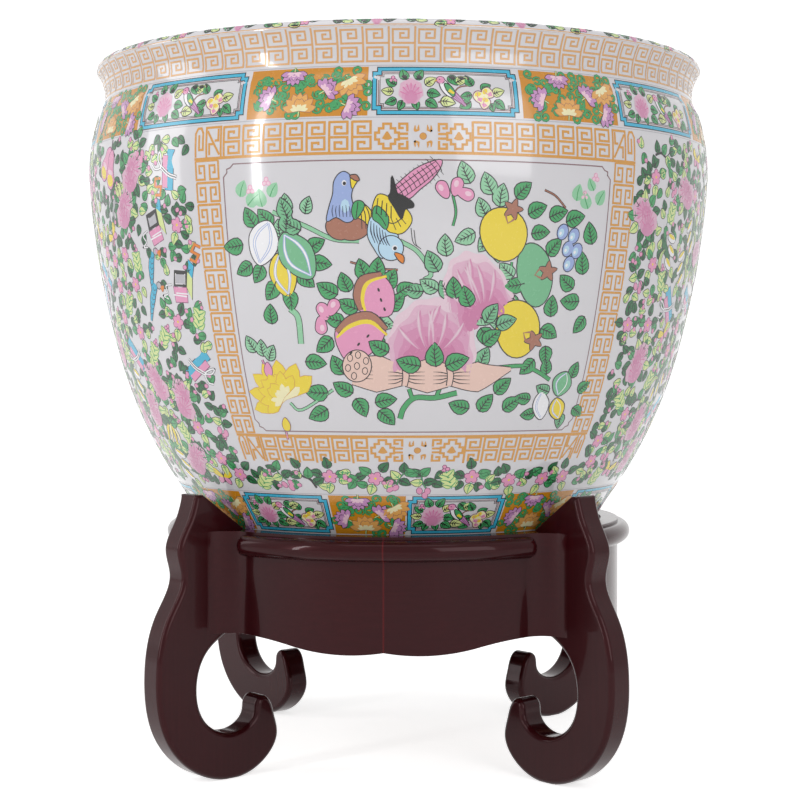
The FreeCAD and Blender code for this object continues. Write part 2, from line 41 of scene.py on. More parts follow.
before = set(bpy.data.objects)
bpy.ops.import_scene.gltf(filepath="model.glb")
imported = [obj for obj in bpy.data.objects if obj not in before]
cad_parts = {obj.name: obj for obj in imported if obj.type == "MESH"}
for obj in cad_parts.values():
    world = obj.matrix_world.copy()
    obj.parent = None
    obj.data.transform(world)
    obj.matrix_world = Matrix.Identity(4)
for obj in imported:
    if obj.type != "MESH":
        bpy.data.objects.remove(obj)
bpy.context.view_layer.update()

MM = 0.001
FULL_TURN = 2 * math.pi
LEGS = {"front_right": 45.0, "back_right": 135.0, "back_left": 225.0, "front_left": 315.0}
FRONTS = {"front": 0.0, "right": 90.0, "back": 180.0, "left": 270.0}

# ---------------------------------------------------------------- colours, sRGB

ENAMELS = {
    "ink": "#1d1a1f", "black": "#141414", "leaf": "#43a262", "deep": "#1c6b3c", "mid": "#74b98b",
    "pale": "#93cda4", "lime": "#d9e59a", "yellow": "#efd63a", "cream": "#f4ecbe",
    "gold": "#d79a48", "ochre": "#cf8a1e", "orange": "#e2832a", "brown": "#a9715c", "tan": "#d8b48c",
    "pink": "#e79abf", "rose": "#d873a6", "blush": "#f1ccdb", "lilac": "#c993c4", "plum": "#7d3f68",
    "mauve": "#8c6f73", "sky": "#bcdcf0", "blue": "#9db0df", "navy": "#1f2a4a", "turquoise": "#3fb4d6",
    "white": "#f4f3f6", "grey": "#b9b7bd", "root": "#ebc8bb",
    "sand": "#dba66c", "amber": "#e6ab5e",
    "petal_1": "#e7ccd8", "petal_2": "#e0b4ca", "petal_3": "#dba0bf", "petal_4": "#d58eb3",
           "petal_5": "#cd7da6",
}


def linear(code):
    """sRGB hex to linear RGBA: the standard curve, straight near black and a power of 2.4 above."""
    srgb = np.array([int(code[place:place + 2], 16) for place in (1, 3, 5)]) / 255
    light = np.where(srgb <= 0.04045, srgb / 12.92, ((srgb + 0.055) / 1.055) ** 2.4)
    return (float(light[0]), float(light[1]), float(light[2]), 1.0)


# ---------------------------------------------------------------- settings a user would change

class JardiniereSettings(bpy.types.PropertyGroup):
    """Sizes and colours of the dressed jardiniere."""
    leg_rounding: bpy.props.FloatProperty(
        name="Leg rounding", description="Radius of the rounded arrises of the legs",
        default=0.004, min=0.001, max=0.006, unit="LENGTH")
    bead_nose: bpy.props.FloatProperty(
        name="Bead nose", description="Length over which a bead's end rounds off against the leg",
        default=0.006, min=0.002, max=0.02, unit="LENGTH")
    fret_line: bpy.props.FloatProperty(
        name="Fret line", description="Width of the gold lines of the fret",
        default=0.0017, min=0.0005, max=0.003, unit="LENGTH")
    outline: bpy.props.FloatProperty(
        name="Drawn outline", description="Width of the dark line round a painted shape",
        default=0.0007, min=0.0002, max=0.002, unit="LENGTH")
    porcelain: bpy.props.FloatVectorProperty(
        name="Porcelain", description="Colour of the glazed ground", subtype="COLOR",
        default=linear("#dddbdf")[:3], min=0, max=1)
    lacquer: bpy.props.FloatVectorProperty(
        name="Lacquer", description="Red-brown of the lacquered wood", subtype="COLOR",
        default=linear("#32090d")[:3], min=0, max=1)
    raw_wood: bpy.props.FloatVectorProperty(
        name="Raw wood", description="Unfinished wood inside the stand", subtype="COLOR",
        default=linear("#8a5f42")[:3], min=0, max=1)


def settings():
    return bpy.context.scene.jardiniere


# ---------------------------------------------------------------- materials

def add_node(tree, kind, values=None, links=None):
    """Add a shader node, set its sockets or settings by name or number, and link sockets into it."""
    node = tree.nodes.new("ShaderNode" + kind)
    for name, value in (values or {}).items():
        if isinstance(name, int) or name in node.inputs:
            node.inputs[name].default_value = value
        else:
            setattr(node, name, value)
    for name, source in (links or {}).items():
        tree.links.new(source, node.inputs[name])
    return node


def new_material(name):
    material = bpy.data.materials.new(name)
    material.use_nodes = True
    material.node_tree.nodes.clear()
    return material, material.node_tree


def finish_material(tree, shader):
    add_node(tree, "OutputMaterial", links={"Surface": shader.outputs[0]})


def uneven(tree, place, wave, depth):
    """Bump from noise: wave is the distance between humps and depth their height, in metres."""
    noise = add_node(tree, "TexNoise", {"Scale": 1 / wave, "Detail": 2.0}, {"Vector": place})
    return add_node(tree, "Bump", {"Strength": 1.0, "Distance": depth}, {"Height": noise.outputs[0]})


def enamel(name):
    """Overglaze enamel, brushed on and fired: a glassy film, a little uneven, so its shine wavers."""
    label = "fired_enamel_" + name
    if label in bpy.data.materials:
        return bpy.data.materials[label]
    material, tree = new_material(label)
    place = add_node(tree, "TexCoord").outputs["Object"]
    # brush marks are 2 to 3 mm apart
    noise = add_node(tree, "TexNoise", {"Scale": 400.0, "Detail": 2.0}, {"Vector": place})
    shine = add_node(tree, "MapRange", {3: 0.16, 4: 0.34}, {0: noise.outputs[0]})
    bump = add_node(tree, "Bump", {"Strength": 0.35, "Distance": 0.00006}, {"Height": noise.outputs[0]})
    finish_material(tree, add_node(tree, "BsdfPrincipled", {
        "Base Color": linear(ENAMELS[name]), "IOR": 1.5, "Coat Weight": 0.35, "Coat Roughness": 0.06,
    }, {"Roughness": shine.outputs[0], "Normal": bump.outputs[0]}))
    return material


def glazed_porcelain():
    """Porcelain dipped in clear glaze and fired: cool white, faintly cloudy, mirror-like but gently wavy."""
    material, tree = new_material("glazed_porcelain")
    place = add_node(tree, "TexCoord").outputs["Object"]
    # clouds of the glaze are about 60 mm across, kiln specks under 1 mm
    cloud = add_node(tree, "TexNoise", {"Scale": 16.0, "Detail": 3.0}, {"Vector": place})
    ground = tuple(settings().porcelain)
    tint = add_node(tree, "Mix", {
        "data_type": "RGBA", 6: tuple(0.95 * part for part in ground) + (1.0,), 7: ground + (1.0,),
    }, {0: cloud.outputs[0]})
    speck = add_node(tree, "TexVoronoi", {"Scale": 55.0}, {"Vector": place})
    dot = add_node(tree, "MapRange", {1: 0.018, 2: 0.03, 3: 0.25, 4: 0.0}, {0: speck.outputs[0]})
    body = add_node(tree, "Mix", {"data_type": "RGBA", 7: linear("#7d726a")},
                    {0: dot.outputs[0], 6: tint.outputs[2]})
    bump = uneven(tree, place, 0.012, 0.00002)
    finish_material(tree, add_node(tree, "BsdfPrincipled", {
        "Roughness": 0.12, "IOR": 1.5, "Coat Weight": 0.5, "Coat Roughness": 0.03,
    }, {"Base Color": body.outputs[2], "Normal": bump.outputs[0]}))
    return material


def bare_porcelain():
    """Unglazed biscuit of the foot ring, wiped clean before firing: matt, warm and slightly gritty."""
    material, tree = new_material("bare_porcelain_foot")
    place = add_node(tree, "TexCoord").outputs["Object"]
    grit = add_node(tree, "TexNoise", {"Scale": 900.0, "Detail": 4.0}, {"Vector": place})
    tint = add_node(tree, "Mix", {"data_type": "RGBA", 6: linear("#c9c0b4"), 7: linear("#dcd5cb")},
                    {0: grit.outputs[0]})
    bump = add_node(tree, "Bump", {"Strength": 0.5, "Distance": 0.0002}, {"Height": grit.outputs[0]})
    finish_material(tree, add_node(tree, "BsdfPrincipled", {"Roughness": 0.85},
                                   {"Base Color": tint.outputs[2], "Normal": bump.outputs[0]}))
    return material


def grain(tree, place, along, dark, light, pitch):
    """Colour of long wood fibres: noise squeezed so that it runs 30 times as far along the board."""
    scale = [1 / pitch] * 3
    scale[along] = 1 / (30 * pitch)
    stretched = add_node(tree, "Mapping", {"Scale": tuple(scale)}, {"Vector": place})
    fibres = add_node(tree, "TexNoise", {"Scale": 1.0, "Detail": 6.0, "Roughness": 0.6},
                      {"Vector": stretched.outputs[0]})
    tint = add_node(tree, "Mix", {"data_type": "RGBA", 6: dark, 7: light}, {0: fibres.outputs[0]})
    return fibres, tint


def lacquered_wood(name, along):
    """Hardwood stained red-brown and sprayed with lacquer: deep, glossy, its grain just telegraphing."""
    material, tree = new_material(name)
    place = add_node(tree, "TexCoord").outputs["Object"]
    base = tuple(settings().lacquer)
    # fibres are 2.5 mm apart, stain clouds 70 mm across
    fibres, tint = grain(tree, place, along, tuple(0.72 * part for part in base) + (1.0,),
                         tuple(1.25 * part for part in base) + (1.0,), 0.0025)
    cloud = add_node(tree, "TexNoise", {"Scale": 14.0, "Detail": 2.0}, {"Vector": place})
    veil = add_node(tree, "MapRange", {1: 0.35, 2: 0.7, 3: 0.0, 4: 0.45}, {0: cloud.outputs[0]})
    deep = add_node(tree, "Mix", {"data_type": "RGBA", 7: linear("#260a0e")},
                    {0: veil.outputs[0], 6: tint.outputs[2]})
    # the glue line in the middle of each front shows redder: closer than 0.5 mm to the X or Y plane
    split = add_node(tree, "SeparateXYZ", links={0: place})
    sides = [add_node(tree, "Math", {"operation": "ABSOLUTE"}, {0: split.outputs[axis]}) for axis in (0, 1)]
    nearest = add_node(tree, "Math", {"operation": "MINIMUM"},
                       {0: sides[0].outputs[0], 1: sides[1].outputs[0]})
    seam = add_node(tree, "MapRange", {1: 0.0003, 2: 0.0008, 3: 0.3, 4: 0.0}, {0: nearest.outputs[0]})
    colour = add_node(tree, "Mix", {"data_type": "RGBA", 7: linear("#8a2426")},
                      {0: seam.outputs[0], 6: deep.outputs[2]})
    bump = add_node(tree, "Bump", {"Strength": 0.25, "Distance": 0.0001}, {"Height": fibres.outputs[0]})
    finish_material(tree, add_node(tree, "BsdfPrincipled", {
        "Roughness": 0.2, "IOR": 1.3, "Specular Tint": linear("#c98a90"), "Coat Weight": 0.2,
                "Coat Roughness": 0.04,
    }, {"Base Color": colour.outputs[2], "Normal": bump.outputs[0]}))
    return material


def planed_wood(name, along, tone):
    """Planed, unfinished wood of the hidden carcase: dry and matt, with a plain straight grain."""
    material, tree = new_material(name)
    place = add_node(tree, "TexCoord").outputs["Object"]
    fibres, tint = grain(tree, place, along, tuple(0.7 * part for part in tone) + (1.0,),
                         tuple(1.15 * part for part in tone) + (1.0,), 0.002)
    bump = add_node(tree, "Bump", {"Strength": 0.4, "Distance": 0.0002}, {"Height": fibres.outputs[0]})
    finish_material(tree, add_node(tree, "BsdfPrincipled", {"Roughness": 0.7},
                                   {"Base Color": tint.outputs[2], "Normal": bump.outputs[0]}))
    return material


def screw_steel():
    """Zinc-plated steel, drawn and turned: a soft metal shine with fine rings."""
    material, tree = new_material("plated_steel")
    place = add_node(tree, "TexCoord").outputs["Object"]
    rings = add_node(tree, "TexNoise", {"Scale": 1500.0, "Detail": 1.0}, {"Vector": place})
    rough = add_node(tree, "MapRange", {3: 0.25, 4: 0.45}, {0: rings.outputs[0]})
    finish_material(tree, add_node(tree, "BsdfPrincipled", {"Base Color": linear("#b9b9b4"), "Metallic": 1.0},
                                   {"Roughness": rough.outputs[0]}))
    return material


# ---------------------------------------------------------------- curves and grids

def arc_between(start, end, radius, step=3.0):
    """Points of a circle's arc: centre on the chord's bisector, angles spread evenly; radius 0 is a line."""
    start, end = np.array(start, float), np.array(end, float)
    chord = end - start
    length = np.hypot(*chord)
    count = max(2, int(length / step) + 2)
    if not radius:
        return start + np.linspace(0, 1, count)[:, None] * chord
    half = math.asin(length / 2 / abs(radius))
    side = np.array([chord[1], -chord[0]]) / length * np.sign(radius)
    centre = (start + end) / 2 - side * abs(radius) * math.cos(half)
    turn = np.linspace(-half, half, count)[:, None]
    return centre + abs(radius) * (side * np.cos(turn) + chord / length * np.sin(turn))


def joined(corners, radii, step=3.0):
    """Corner to corner by lines and arcs, as one polyline; shared ends are kept once."""
    runs = [arc_between(corners[k], corners[k + 1], radii[k], step) for k in range(len(corners) - 1)]
    return np.concatenate([run[:-1] for run in runs[:-1]] + [runs[-1]])


def fair_curve(places, step):
    """Natural cubic spline through the places: a cubic for each span, chords as knots, equal curvature
    where spans meet and none at the ends; the second derivatives come from one linear system."""
    places = np.array(places, float)
    chord = np.hypot(*np.diff(places, axis=0).T)
    knots = np.concatenate([[0], np.cumsum(chord)])
    count = len(places)
    system = np.eye(count)
    known = np.zeros((count, 2))
    inner = np.arange(1, count - 1)
    system[inner, inner - 1] = chord[:-1]
    system[inner, inner] = 2 * (chord[:-1] + chord[1:])
    system[inner, inner + 1] = chord[1:]
    slope = np.diff(places, axis=0) / chord[:, None]
    known[1:-1] = 6 * (slope[1:] - slope[:-1])
    bend = np.linalg.solve(system, known)
    way = np.linspace(0, knots[-1], int(knots[-1] / step) + 2)
    span = np.clip(np.searchsorted(knots, way, side="right") - 1, 0, count - 2)
    width = chord[span][:, None]
    left, right = (knots[span + 1] - way)[:, None], (way - knots[span])[:, None]
    return ((bend[span] * left ** 3 + bend[span + 1] * right ** 3) / (6 * width)
            + (places[span] / width - bend[span] * width / 6) * left
            + (places[span + 1] / width - bend[span + 1] * width / 6) * right)


def cubic_spans(before, here, after, beyond, parts):
    """Points from each place to the next: a cubic to each span, whose end slopes join the neighbours."""
    t = (np.arange(parts) / parts)[None, :, None]
    curve = (here[:, None] * (1 - 2.5 * t ** 2 + 1.5 * t ** 3)
             + before[:, None] * (-0.5 * t + t ** 2 - 0.5 * t ** 3)
             + after[:, None] * (0.5 * t + 2 * t ** 2 - 1.5 * t ** 3)
             + beyond[:, None] * (-0.5 * t ** 2 + 0.5 * t ** 3))
    return curve.reshape(-1, 2)


def loop_curve(places, parts=4):
    """Closed curve through the places, by cubic spans."""
    here = np.array(places, float)
    return cubic_spans(np.roll(here, 1, 0), here, np.roll(here, -1, 0), np.roll(here, -2, 0), parts)


def open_curve(places, parts=5):
    """The same cubic spans through an open row of places, its ends continued straight."""
    places = np.array(places, float)
    if len(places) == 2:
        return places
    row = np.vstack([2 * places[0] - places[1], places, 2 * places[-1] - places[-2]])
    return np.vstack([cubic_spans(row[:-3], row[1:-2], row[2:-1], row[3:], parts), places[-1]])


def grid_faces(rows, columns, close_rows=False, close_columns=False):
    """Quads of a grid of rows by columns, numbered row by row; a closed direction joins its ends."""
    r = np.arange(rows if close_rows else rows - 1)[:, None]
    c = np.arange(columns if close_columns else columns - 1)[None, :]
    r_next, c_next = (r + 1) % rows, (c + 1) % columns
    quads = np.stack([r * columns + c, r * columns + c_next, r_next * columns + c_next, r_next * columns + c],
                     -1)
    return quads.reshape(-1, 4)


def capped_grid(rows, columns):
    """Faces of a solid bar: a grid whose columns are closed, and a cap over its first and its last row."""
    last = (rows - 1) * columns
    return (grid_faces(rows, columns, close_columns=True).tolist()
            + [list(range(columns))[::-1], list(range(last, last + columns))])


def new_piece(name, points, faces, body, materials, face_materials=None, normals=None):
    """Make a mesh piece from points in metres and lists of faces, shaded smooth, riding its body."""
    mesh = bpy.data.meshes.new(name)
    mesh.from_pydata(np.asarray(points, float).tolist(), [],
                     faces if isinstance(faces, list) else faces.tolist())
    for material in materials:
        mesh.materials.append(material)
    mesh.polygons.foreach_set("use_smooth", np.ones(len(mesh.polygons), bool))
    if face_materials is not None:
        mesh.polygons.foreach_set("material_index", np.asarray(face_materials, np.int32))
    if normals is not None:
        mesh.normals_split_custom_set_from_vertices(np.asarray(normals, float).tolist())
    mesh.update()
    piece = bpy.data.objects.new(name, mesh)
    bpy.context.scene.collection.objects.link(piece)
    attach(piece, body)
    return piece


# ---------------------------------------------------------------- the bowl and its chart, in millimetres

FOOT, FLANK, BELLY, GIRTH = (128, 138), (186, 225), (231.5, 330), (254, 464)
SHOULDER, NECK, LIP, RIM = (246.4, 516), (241.2, 531), (248, 551.5), (243.5, 557.5)
GLAZE_INSET = 0.35  # the ground lies this much inside the solid, so that the enamel stays within it
FIRST_COAT, COAT = 0.04, 0.03  # height of the lowest enamel over the ground, and of each coat over the last
STROKE_LIFT = 0.008  # strokes of one coat lie on three heights by turns, this far apart


def outside_profile():
    """Radius and height from the foot to the rim's inner edge: a straight flank, then belly (radius 370),
    girth (690) and shoulder (150) bulging, neck (33) and lip (40) hollow, a round edge (7) and a flat rim."""
    corners = [FOOT, FLANK, BELLY, GIRTH, SHOULDER, NECK, LIP, RIM, (RIM[0] - 17, RIM[1])]
    radii = [0, 370, 690, 150, -33, -40, 7, 0]
    runs = [arc_between(corners[k], corners[k + 1], radii[k], 3.0 if k < 4 else 1.5) for k in range(8)]
    return np.concatenate([run[:-1] for run in runs[:-1]] + [runs[-1]])


OUTSIDE = outside_profile()
WAY = np.concatenate([[0], np.cumsum(np.hypot(*np.diff(OUTSIDE, axis=0).T))])
SLOPE = np.gradient(OUTSIDE, WAY, axis=0)
OUTWARD = np.column_stack([SLOPE[:, 1], -SLOPE[:, 0]])
OUTWARD /= np.hypot(*OUTWARD.T)[:, None]
CREST = int(np.argmin(np.hypot(OUTSIDE[:, 0] - RIM[0], OUTSIDE[:, 1] - RIM[1])))


def way_of(height):
    """Millimetres up the profile at a height above the floor, below the crest of the rim."""
    return np.interp(height, OUTSIDE[:CREST + 1, 1], WAY[:CREST + 1])


def radius_at(way):
    return np.interp(way, WAY, OUTSIDE[:, 0])


def on_bowl(angle, way, lift):
    """Chart to space, in metres, and the unit normals: the profile point at this way, pushed out along the
    profile's normal by lift millimetres and swung round the axis by angle from the front, -Y, towards +X."""
    normal = np.column_stack([np.interp(way, WAY, OUTWARD[:, 0]), np.interp(way, WAY, OUTWARD[:, 1])])
    normal /= np.hypot(*normal.T)[:, None]
    reach = np.interp(way, WAY, OUTSIDE[:, 0]) + (lift - GLAZE_INSET) * normal[:, 0]
    height = np.interp(way, WAY, OUTSIDE[:, 1]) + (lift - GLAZE_INSET) * normal[:, 1]
    sine, cosine = np.sin(angle), np.cos(angle)
    points = np.column_stack([reach * sine, -reach * cosine, height]) * MM
    return points, np.column_stack([normal[:, 0] * sine, -normal[:, 0] * cosine, normal[:, 1]])


def make_bowl():
    """Surface of revolution of the whole profile: outside, rim, inside and foot, closed on the axis."""
    outer = OUTSIDE - GLAZE_INSET * OUTWARD
    inner = joined([(226.5, 557.15), (231.2, 531), (244, 464), (221.5, 330), (176, 225), (118, 153)],
                   [0, -160, -690, -370, 0], 7.0)[1:]
    under = joined([(114, 141), (114, 138.35), (outer[0, 0], 138.35)], [0, 0], 4.0)
    profile = np.concatenate([[(0, 141), (57, 141)], under[:-1], outer, inner, [(60, 153), (0, 153)]])
    profile[profile[:, 1] < 138, 1] = 138
    columns = 320
    angle = np.arange(columns) * FULL_TURN / columns
    rings = profile[1:-1]
    grid = np.stack([rings[:, :1] * np.sin(angle), -rings[:, :1] * np.cos(angle),
                     np.repeat(rings[:, 1:], columns, 1)], -1).reshape(-1, 3)
    points = np.vstack([grid, [(0, 0, profile[0, 1]), (0, 0, profile[-1, 1])]]) * MM
    faces = grid_faces(len(rings), columns, close_columns=True)
    here = np.arange(columns)
    last = (len(rings) - 1) * columns
    fan_low = np.column_stack([np.full(columns, len(points) - 2), (here + 1) % columns, here])
    fan_high = np.column_stack([np.full(columns, len(points) - 1), last + here, last + (here + 1) % columns])
    every = faces.tolist() + fan_low.tolist() + fan_high.tolist()
    bare = np.zeros(len(every), np.int32)
    bare[:columns * 3] = 1
    bare[len(faces):len(faces) + columns] = 1
    piece = new_piece("bowl_body", points, every, "bowl",
                      [glazed_porcelain(), bare_porcelain()], bare)
    outwards(piece)
    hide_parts("bowl")
    return piece


# ---------------------------------------------------------------- the stand

APRON_FACE, RING_INSIDE, MOUTH, HALF_LEG, SWEEP = 181.03, 160.03, 167.33, 11.0, 24.0
RING_TOP, ARCH, CUSP, BEVEL_FOOT = 189.5, 112.0, 104.6, 178.5
LEG_CURVE = (
    (211.5, 217.5), (217.2, 199.5), (226.7, 176.5), (223, 157), (235, 129), (245.7, 84), (237, 36),
    (211.5, 9), (181, -0.8), (149, 7.5), (133.8, 29), (137, 44), (142, 56), (148, 59.5), (154, 56),
    (156, 46), (162.5, 38.6), (184, 35.5), (203, 47.5), (209.8, 70), (201, 97.5), (181, 112),
)
LEG_STRAIGHTS = ((160, 112), (160, 178.5), (167.3, 189.5), (205.5, 217.5))


def swung(points, degrees):
    """Points drawn with X outwards, turned about the axis so that X points degrees from the front."""
    turn = math.radians(degrees - 90)
    x, y, z = np.asarray(points, float).T
    return np.column_stack([x * math.cos(turn) - y * math.sin(turn), x * math.sin(turn) + y * math.cos(turn),
            z])


def make_leg(place, degrees):
    """Board on edge: the fair outline carried over a quarter-round at both arrises. A ring at turn t of the
    round lies rounding * (1 - cos t) inside the outline and half the thickness less rounding * (1 - sin t)
    from the middle; it faces cos t away from the outline and sin t sideways. Two flanks close it."""
    curve = fair_curve(LEG_CURVE, 1.6)
    outline = np.vstack([curve, joined([curve[-1], *LEG_STRAIGHTS, LEG_CURVE[0]], [0] * 5, 3.0)[1:-1]])
    along = np.roll(outline, -1, 0) - np.roll(outline, 1, 0)
    along /= np.hypot(*along.T)[:, None]
    inward = np.column_stack([along[:, 1], -along[:, 0]])
    straight = np.arange(len(outline)) >= len(curve)
    share = np.where(straight, 0.3, 1.0)
    for _ in range(6):
        share = (np.roll(share, 1) + share + np.roll(share, -1)) / 3
    radius = settings().leg_rounding / MM * share
    rings, facing = [], []
    for side, turns in ((-1, np.linspace(math.pi / 2, 0, 7)), (1, np.linspace(0, math.pi / 2, 7))):
        for turn in turns:
            flat = outline + inward * (radius * (1 - math.cos(turn)))[:, None]
            across = side * (HALF_LEG - radius * (1 - math.sin(turn)))
            rings.append(np.column_stack([flat[:, 0], across, np.maximum(flat[:, 1], 0)]))
            away = -inward * math.cos(turn)
            facing.append(np.column_stack([away[:, 0], np.full(len(away), side * math.sin(turn)),
                    away[:, 1]]))
    count = len(outline)
    points = np.vstack(rings)
    faces = capped_grid(len(rings), count)
    piece = new_piece("leg_scroll_" + place, swung(points, degrees) * MM, faces, "stand",
                      [lacquered_wood("lacquered_wood_upright", 2)])
    outwards(piece)
    piece.data.normals_split_custom_set_from_vertices(swung(np.vstack(facing), degrees).tolist())
    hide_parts("leg_" + place)


def outwards(piece):
    """Turn a closed piece's faces to point out: its signed volume, a sixth of the sum of corner triple
    products, is made positive."""
    mesh = piece.data
    mesh.calc_loop_triangles()
    corners = np.array([mesh.vertices[i].co for tri in mesh.loop_triangles for i in tri.vertices])
    corners = corners.reshape(-1, 3, 3)
    if np.einsum("ij,ij->i", corners[:, 0], np.cross(corners[:, 1], corners[:, 2])).sum() < 0:
        mesh.flip_normals()


def round_arrises(piece, width, degrees, harden):
    """Bevel, width in metres, along the edges where the faces turn by more than so many degrees."""
    arris = piece.modifiers.new("Arris", "BEVEL")
    arris.width, arris.segments, arris.limit_method = width, 2, "ANGLE"
    arris.angle_limit, arris.harden_normals = math.radians(degrees), harden


def lower_edge(across):
    """Height of the apron's lower edge: a hanging belly (180) from the cusp, an arch (200) up to the leg."""
    curve = joined([(0, CUSP), (70, 107), (128, ARCH)], [180, -200], 2.0)
    return np.interp(across, curve[:, 0], curve[:, 1])


def make_apron_half(side, degrees, hand):
    """Half a front: a closed section carried round the ring, from the seam to the flank of the leg. Its outer
    corner runs on the ring's circle and then on the hollow sweep's arc; its lower edge follows the ogee."""
    sweep_place = math.sqrt((APRON_FACE + SWEEP) ** 2 - (HALF_LEG + SWEEP) ** 2)
    share = APRON_FACE / (APRON_FACE + SWEEP)
    ear = (sweep_place * share, (HALF_LEG + SWEEP) * share)
    ear_angle = math.atan2(ear[1], ear[0])
    ring_angles = np.linspace(math.pi / 4, ear_angle, 46)
    face = APRON_FACE * np.column_stack([np.cos(ring_angles), np.sin(ring_angles)])
    turns = np.linspace(math.pi + ear_angle, 1.5 * math.pi, 22)[1:, None]
    hollow = (sweep_place, HALF_LEG + SWEEP) + SWEEP * np.hstack([np.cos(turns), np.sin(turns)])
    outer = np.vstack([face, hollow])
    leg_angle = math.asin(HALF_LEG / RING_INSIDE)
    angles = np.concatenate([ring_angles, np.linspace(ear_angle, leg_angle, len(hollow) + 1)[1:]])
    radial = np.column_stack([np.cos(angles), np.sin(angles)])
    seam = np.array([math.cos(math.pi / 4), math.sin(math.pi / 4)])
    across = np.abs(outer @ np.array([seam[1], -seam[0]]))
    across_inner = np.abs(RING_INSIDE * radial @ np.array([seam[1], -seam[0]]))
    high = np.full(len(outer), RING_TOP)
    low, low_inner = lower_edge(across), lower_edge(across_inner)
    stations = [np.column_stack([outer, low + (high - low) * part]) for part in np.linspace(0, 1, 5)]
    stations += [
        np.column_stack([MOUTH * radial, high]),
        np.column_stack([RING_INSIDE * radial, np.full(len(outer), BEVEL_FOOT)]),
        np.column_stack([RING_INSIDE * radial, low_inner]),
    ]
    count = len(stations)
    points = np.stack(stations, 1).reshape(-1, 3)
    points[:, 1] *= hand
    faces = capped_grid(len(outer), count)
    name = "%s_%s" % (side, "left" if hand > 0 else "right")
    along = 0 if side in ("front", "back") else 1
    piece = new_piece("apron_board_" + name, swung(points, degrees) * MM, faces, "stand",
                      [lacquered_wood("lacquered_wood_level_%d" % along, along)])
    outwards(piece)
    round_arrises(piece, 0.0012, 35, True)
    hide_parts("apron_" + name)


def make_bead(side, degrees):
    """Half-round moulding bent round the top of a front; near each end the section shrinks towards its
    back by the quarter circle sqrt(1 - q * q), so that the moulding ends in a round nose."""
    reach = math.radians(45 - 7.6)
    nose = settings().bead_nose / MM / (APRON_FACE + 5)
    angle = np.concatenate([
        -reach + nose * (1 - np.cos(np.linspace(0, math.pi / 2, 7))),
                np.linspace(-reach + nose, reach - nose, 90)[1:-1],
        reach - nose * (1 - np.cos(np.linspace(math.pi / 2, 0, 7)))])
    q = np.clip((np.abs(angle) - reach + nose) / nose, 0, 1)
    size = np.maximum(np.sqrt(1 - q ** 2), 0.02)
    face = arc_between((APRON_FACE + 4, 171.5), (APRON_FACE + 4, 187), 8.1, 1.2)
    section = np.vstack([[(APRON_FACE - 0.5, 171.5)], face, [(APRON_FACE - 0.5, 187)]])
    middle = np.array([APRON_FACE - 0.5, 179.25])
    carried = middle + (section - middle)[None] * size[:, None, None]
    points = np.stack([carried[..., 0] * np.cos(angle)[:, None], carried[..., 0] * np.sin(angle)[:, None],
                       carried[..., 1]], -1).reshape(-1, 3)
    count = len(section)
    faces = capped_grid(len(angle), count)
    along = 0 if side in ("front", "back") else 1
    piece = new_piece("bead_moulding_" + side, swung(points, degrees) * MM, faces, "stand",
                      [lacquered_wood("lacquered_bead_%d" % along, along)])
    outwards(piece)
    round_arrises(piece, 0.0006, 40, False)
    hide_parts("bead_" + side)


def finish_carcase():
    """Give the solids inside the stand their own finishes."""
    raw = tuple(settings().raw_wood)
    finishes = {"rail_lower": planed_wood("planed_softwood_rail", 0, raw), "rail_screw": screw_steel()}
    finishes["rail_upper"] = finishes["rail_lower"]
    block = planed_wood("sawn_softwood_block", 2, tuple(1.15 * part for part in raw))
    dowel = planed_wood("turned_beech_dowel", 0, linear("#b48a5c")[:3])
    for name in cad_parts:
        if name.startswith("seam_block_"):
            finishes[name] = block
        if name.startswith("dowels_"):
            finishes[name] = dowel
    for name, material in finishes.items():
        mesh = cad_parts[name].data
        mesh.materials.clear()
        mesh.materials.append(material)


# ---------------------------------------------------------------- the photograph's view

VIEW_TURN, VIEW_DISTANCE, VIEW_HEIGHT = math.radians(3.5), 1482.5, 325.0
VIEW_FOCAL, AXIS_COLUMN, HORIZON_ROW = 1780.0, 398.5, 352.0  # pixels of the photograph
PHOTO_SIDE = 800
PIXEL_SIZE = 0.7  # millimetres on the bowl to a pixel of the photograph


def from_view(places):
    """Pixels of the photograph to chart points. A pixel's ray meets the circle of the bowl's radius R where
    asin(d D / (R sqrt(1 + d d))) - atan d, with d the sideways slope and D the camera's distance; the
    radius is then read at the height found there, and the step is repeated until it settles."""
    column, row = np.atleast_2d(np.asarray(places, float)).T
    slope = (column - AXIS_COLUMN) / VIEW_FOCAL
    radius = np.full(len(column), 250.0)
    for _ in range(25):
        sine = np.clip(slope * VIEW_DISTANCE / (radius * np.sqrt(1 + slope ** 2)), -1, 1)
        turn = np.arcsin(sine) - np.arctan(slope)
        depth = VIEW_DISTANCE - radius * np.cos(turn)
        height = np.clip(VIEW_HEIGHT - (row - HORIZON_ROW) * depth / VIEW_FOCAL, 140, 557)
        radius = 0.5 * radius + 0.5 * radius_at(way_of(height))
    return np.column_stack([turn + VIEW_TURN, way_of(height)])


def spot_in_view(column, row, degrees=0.0):
    angle, way = from_view((column, row))[0]
    return Spot(angle, way, math.radians(degrees))


# ---------------------------------------------------------------- enamel painting on the chart

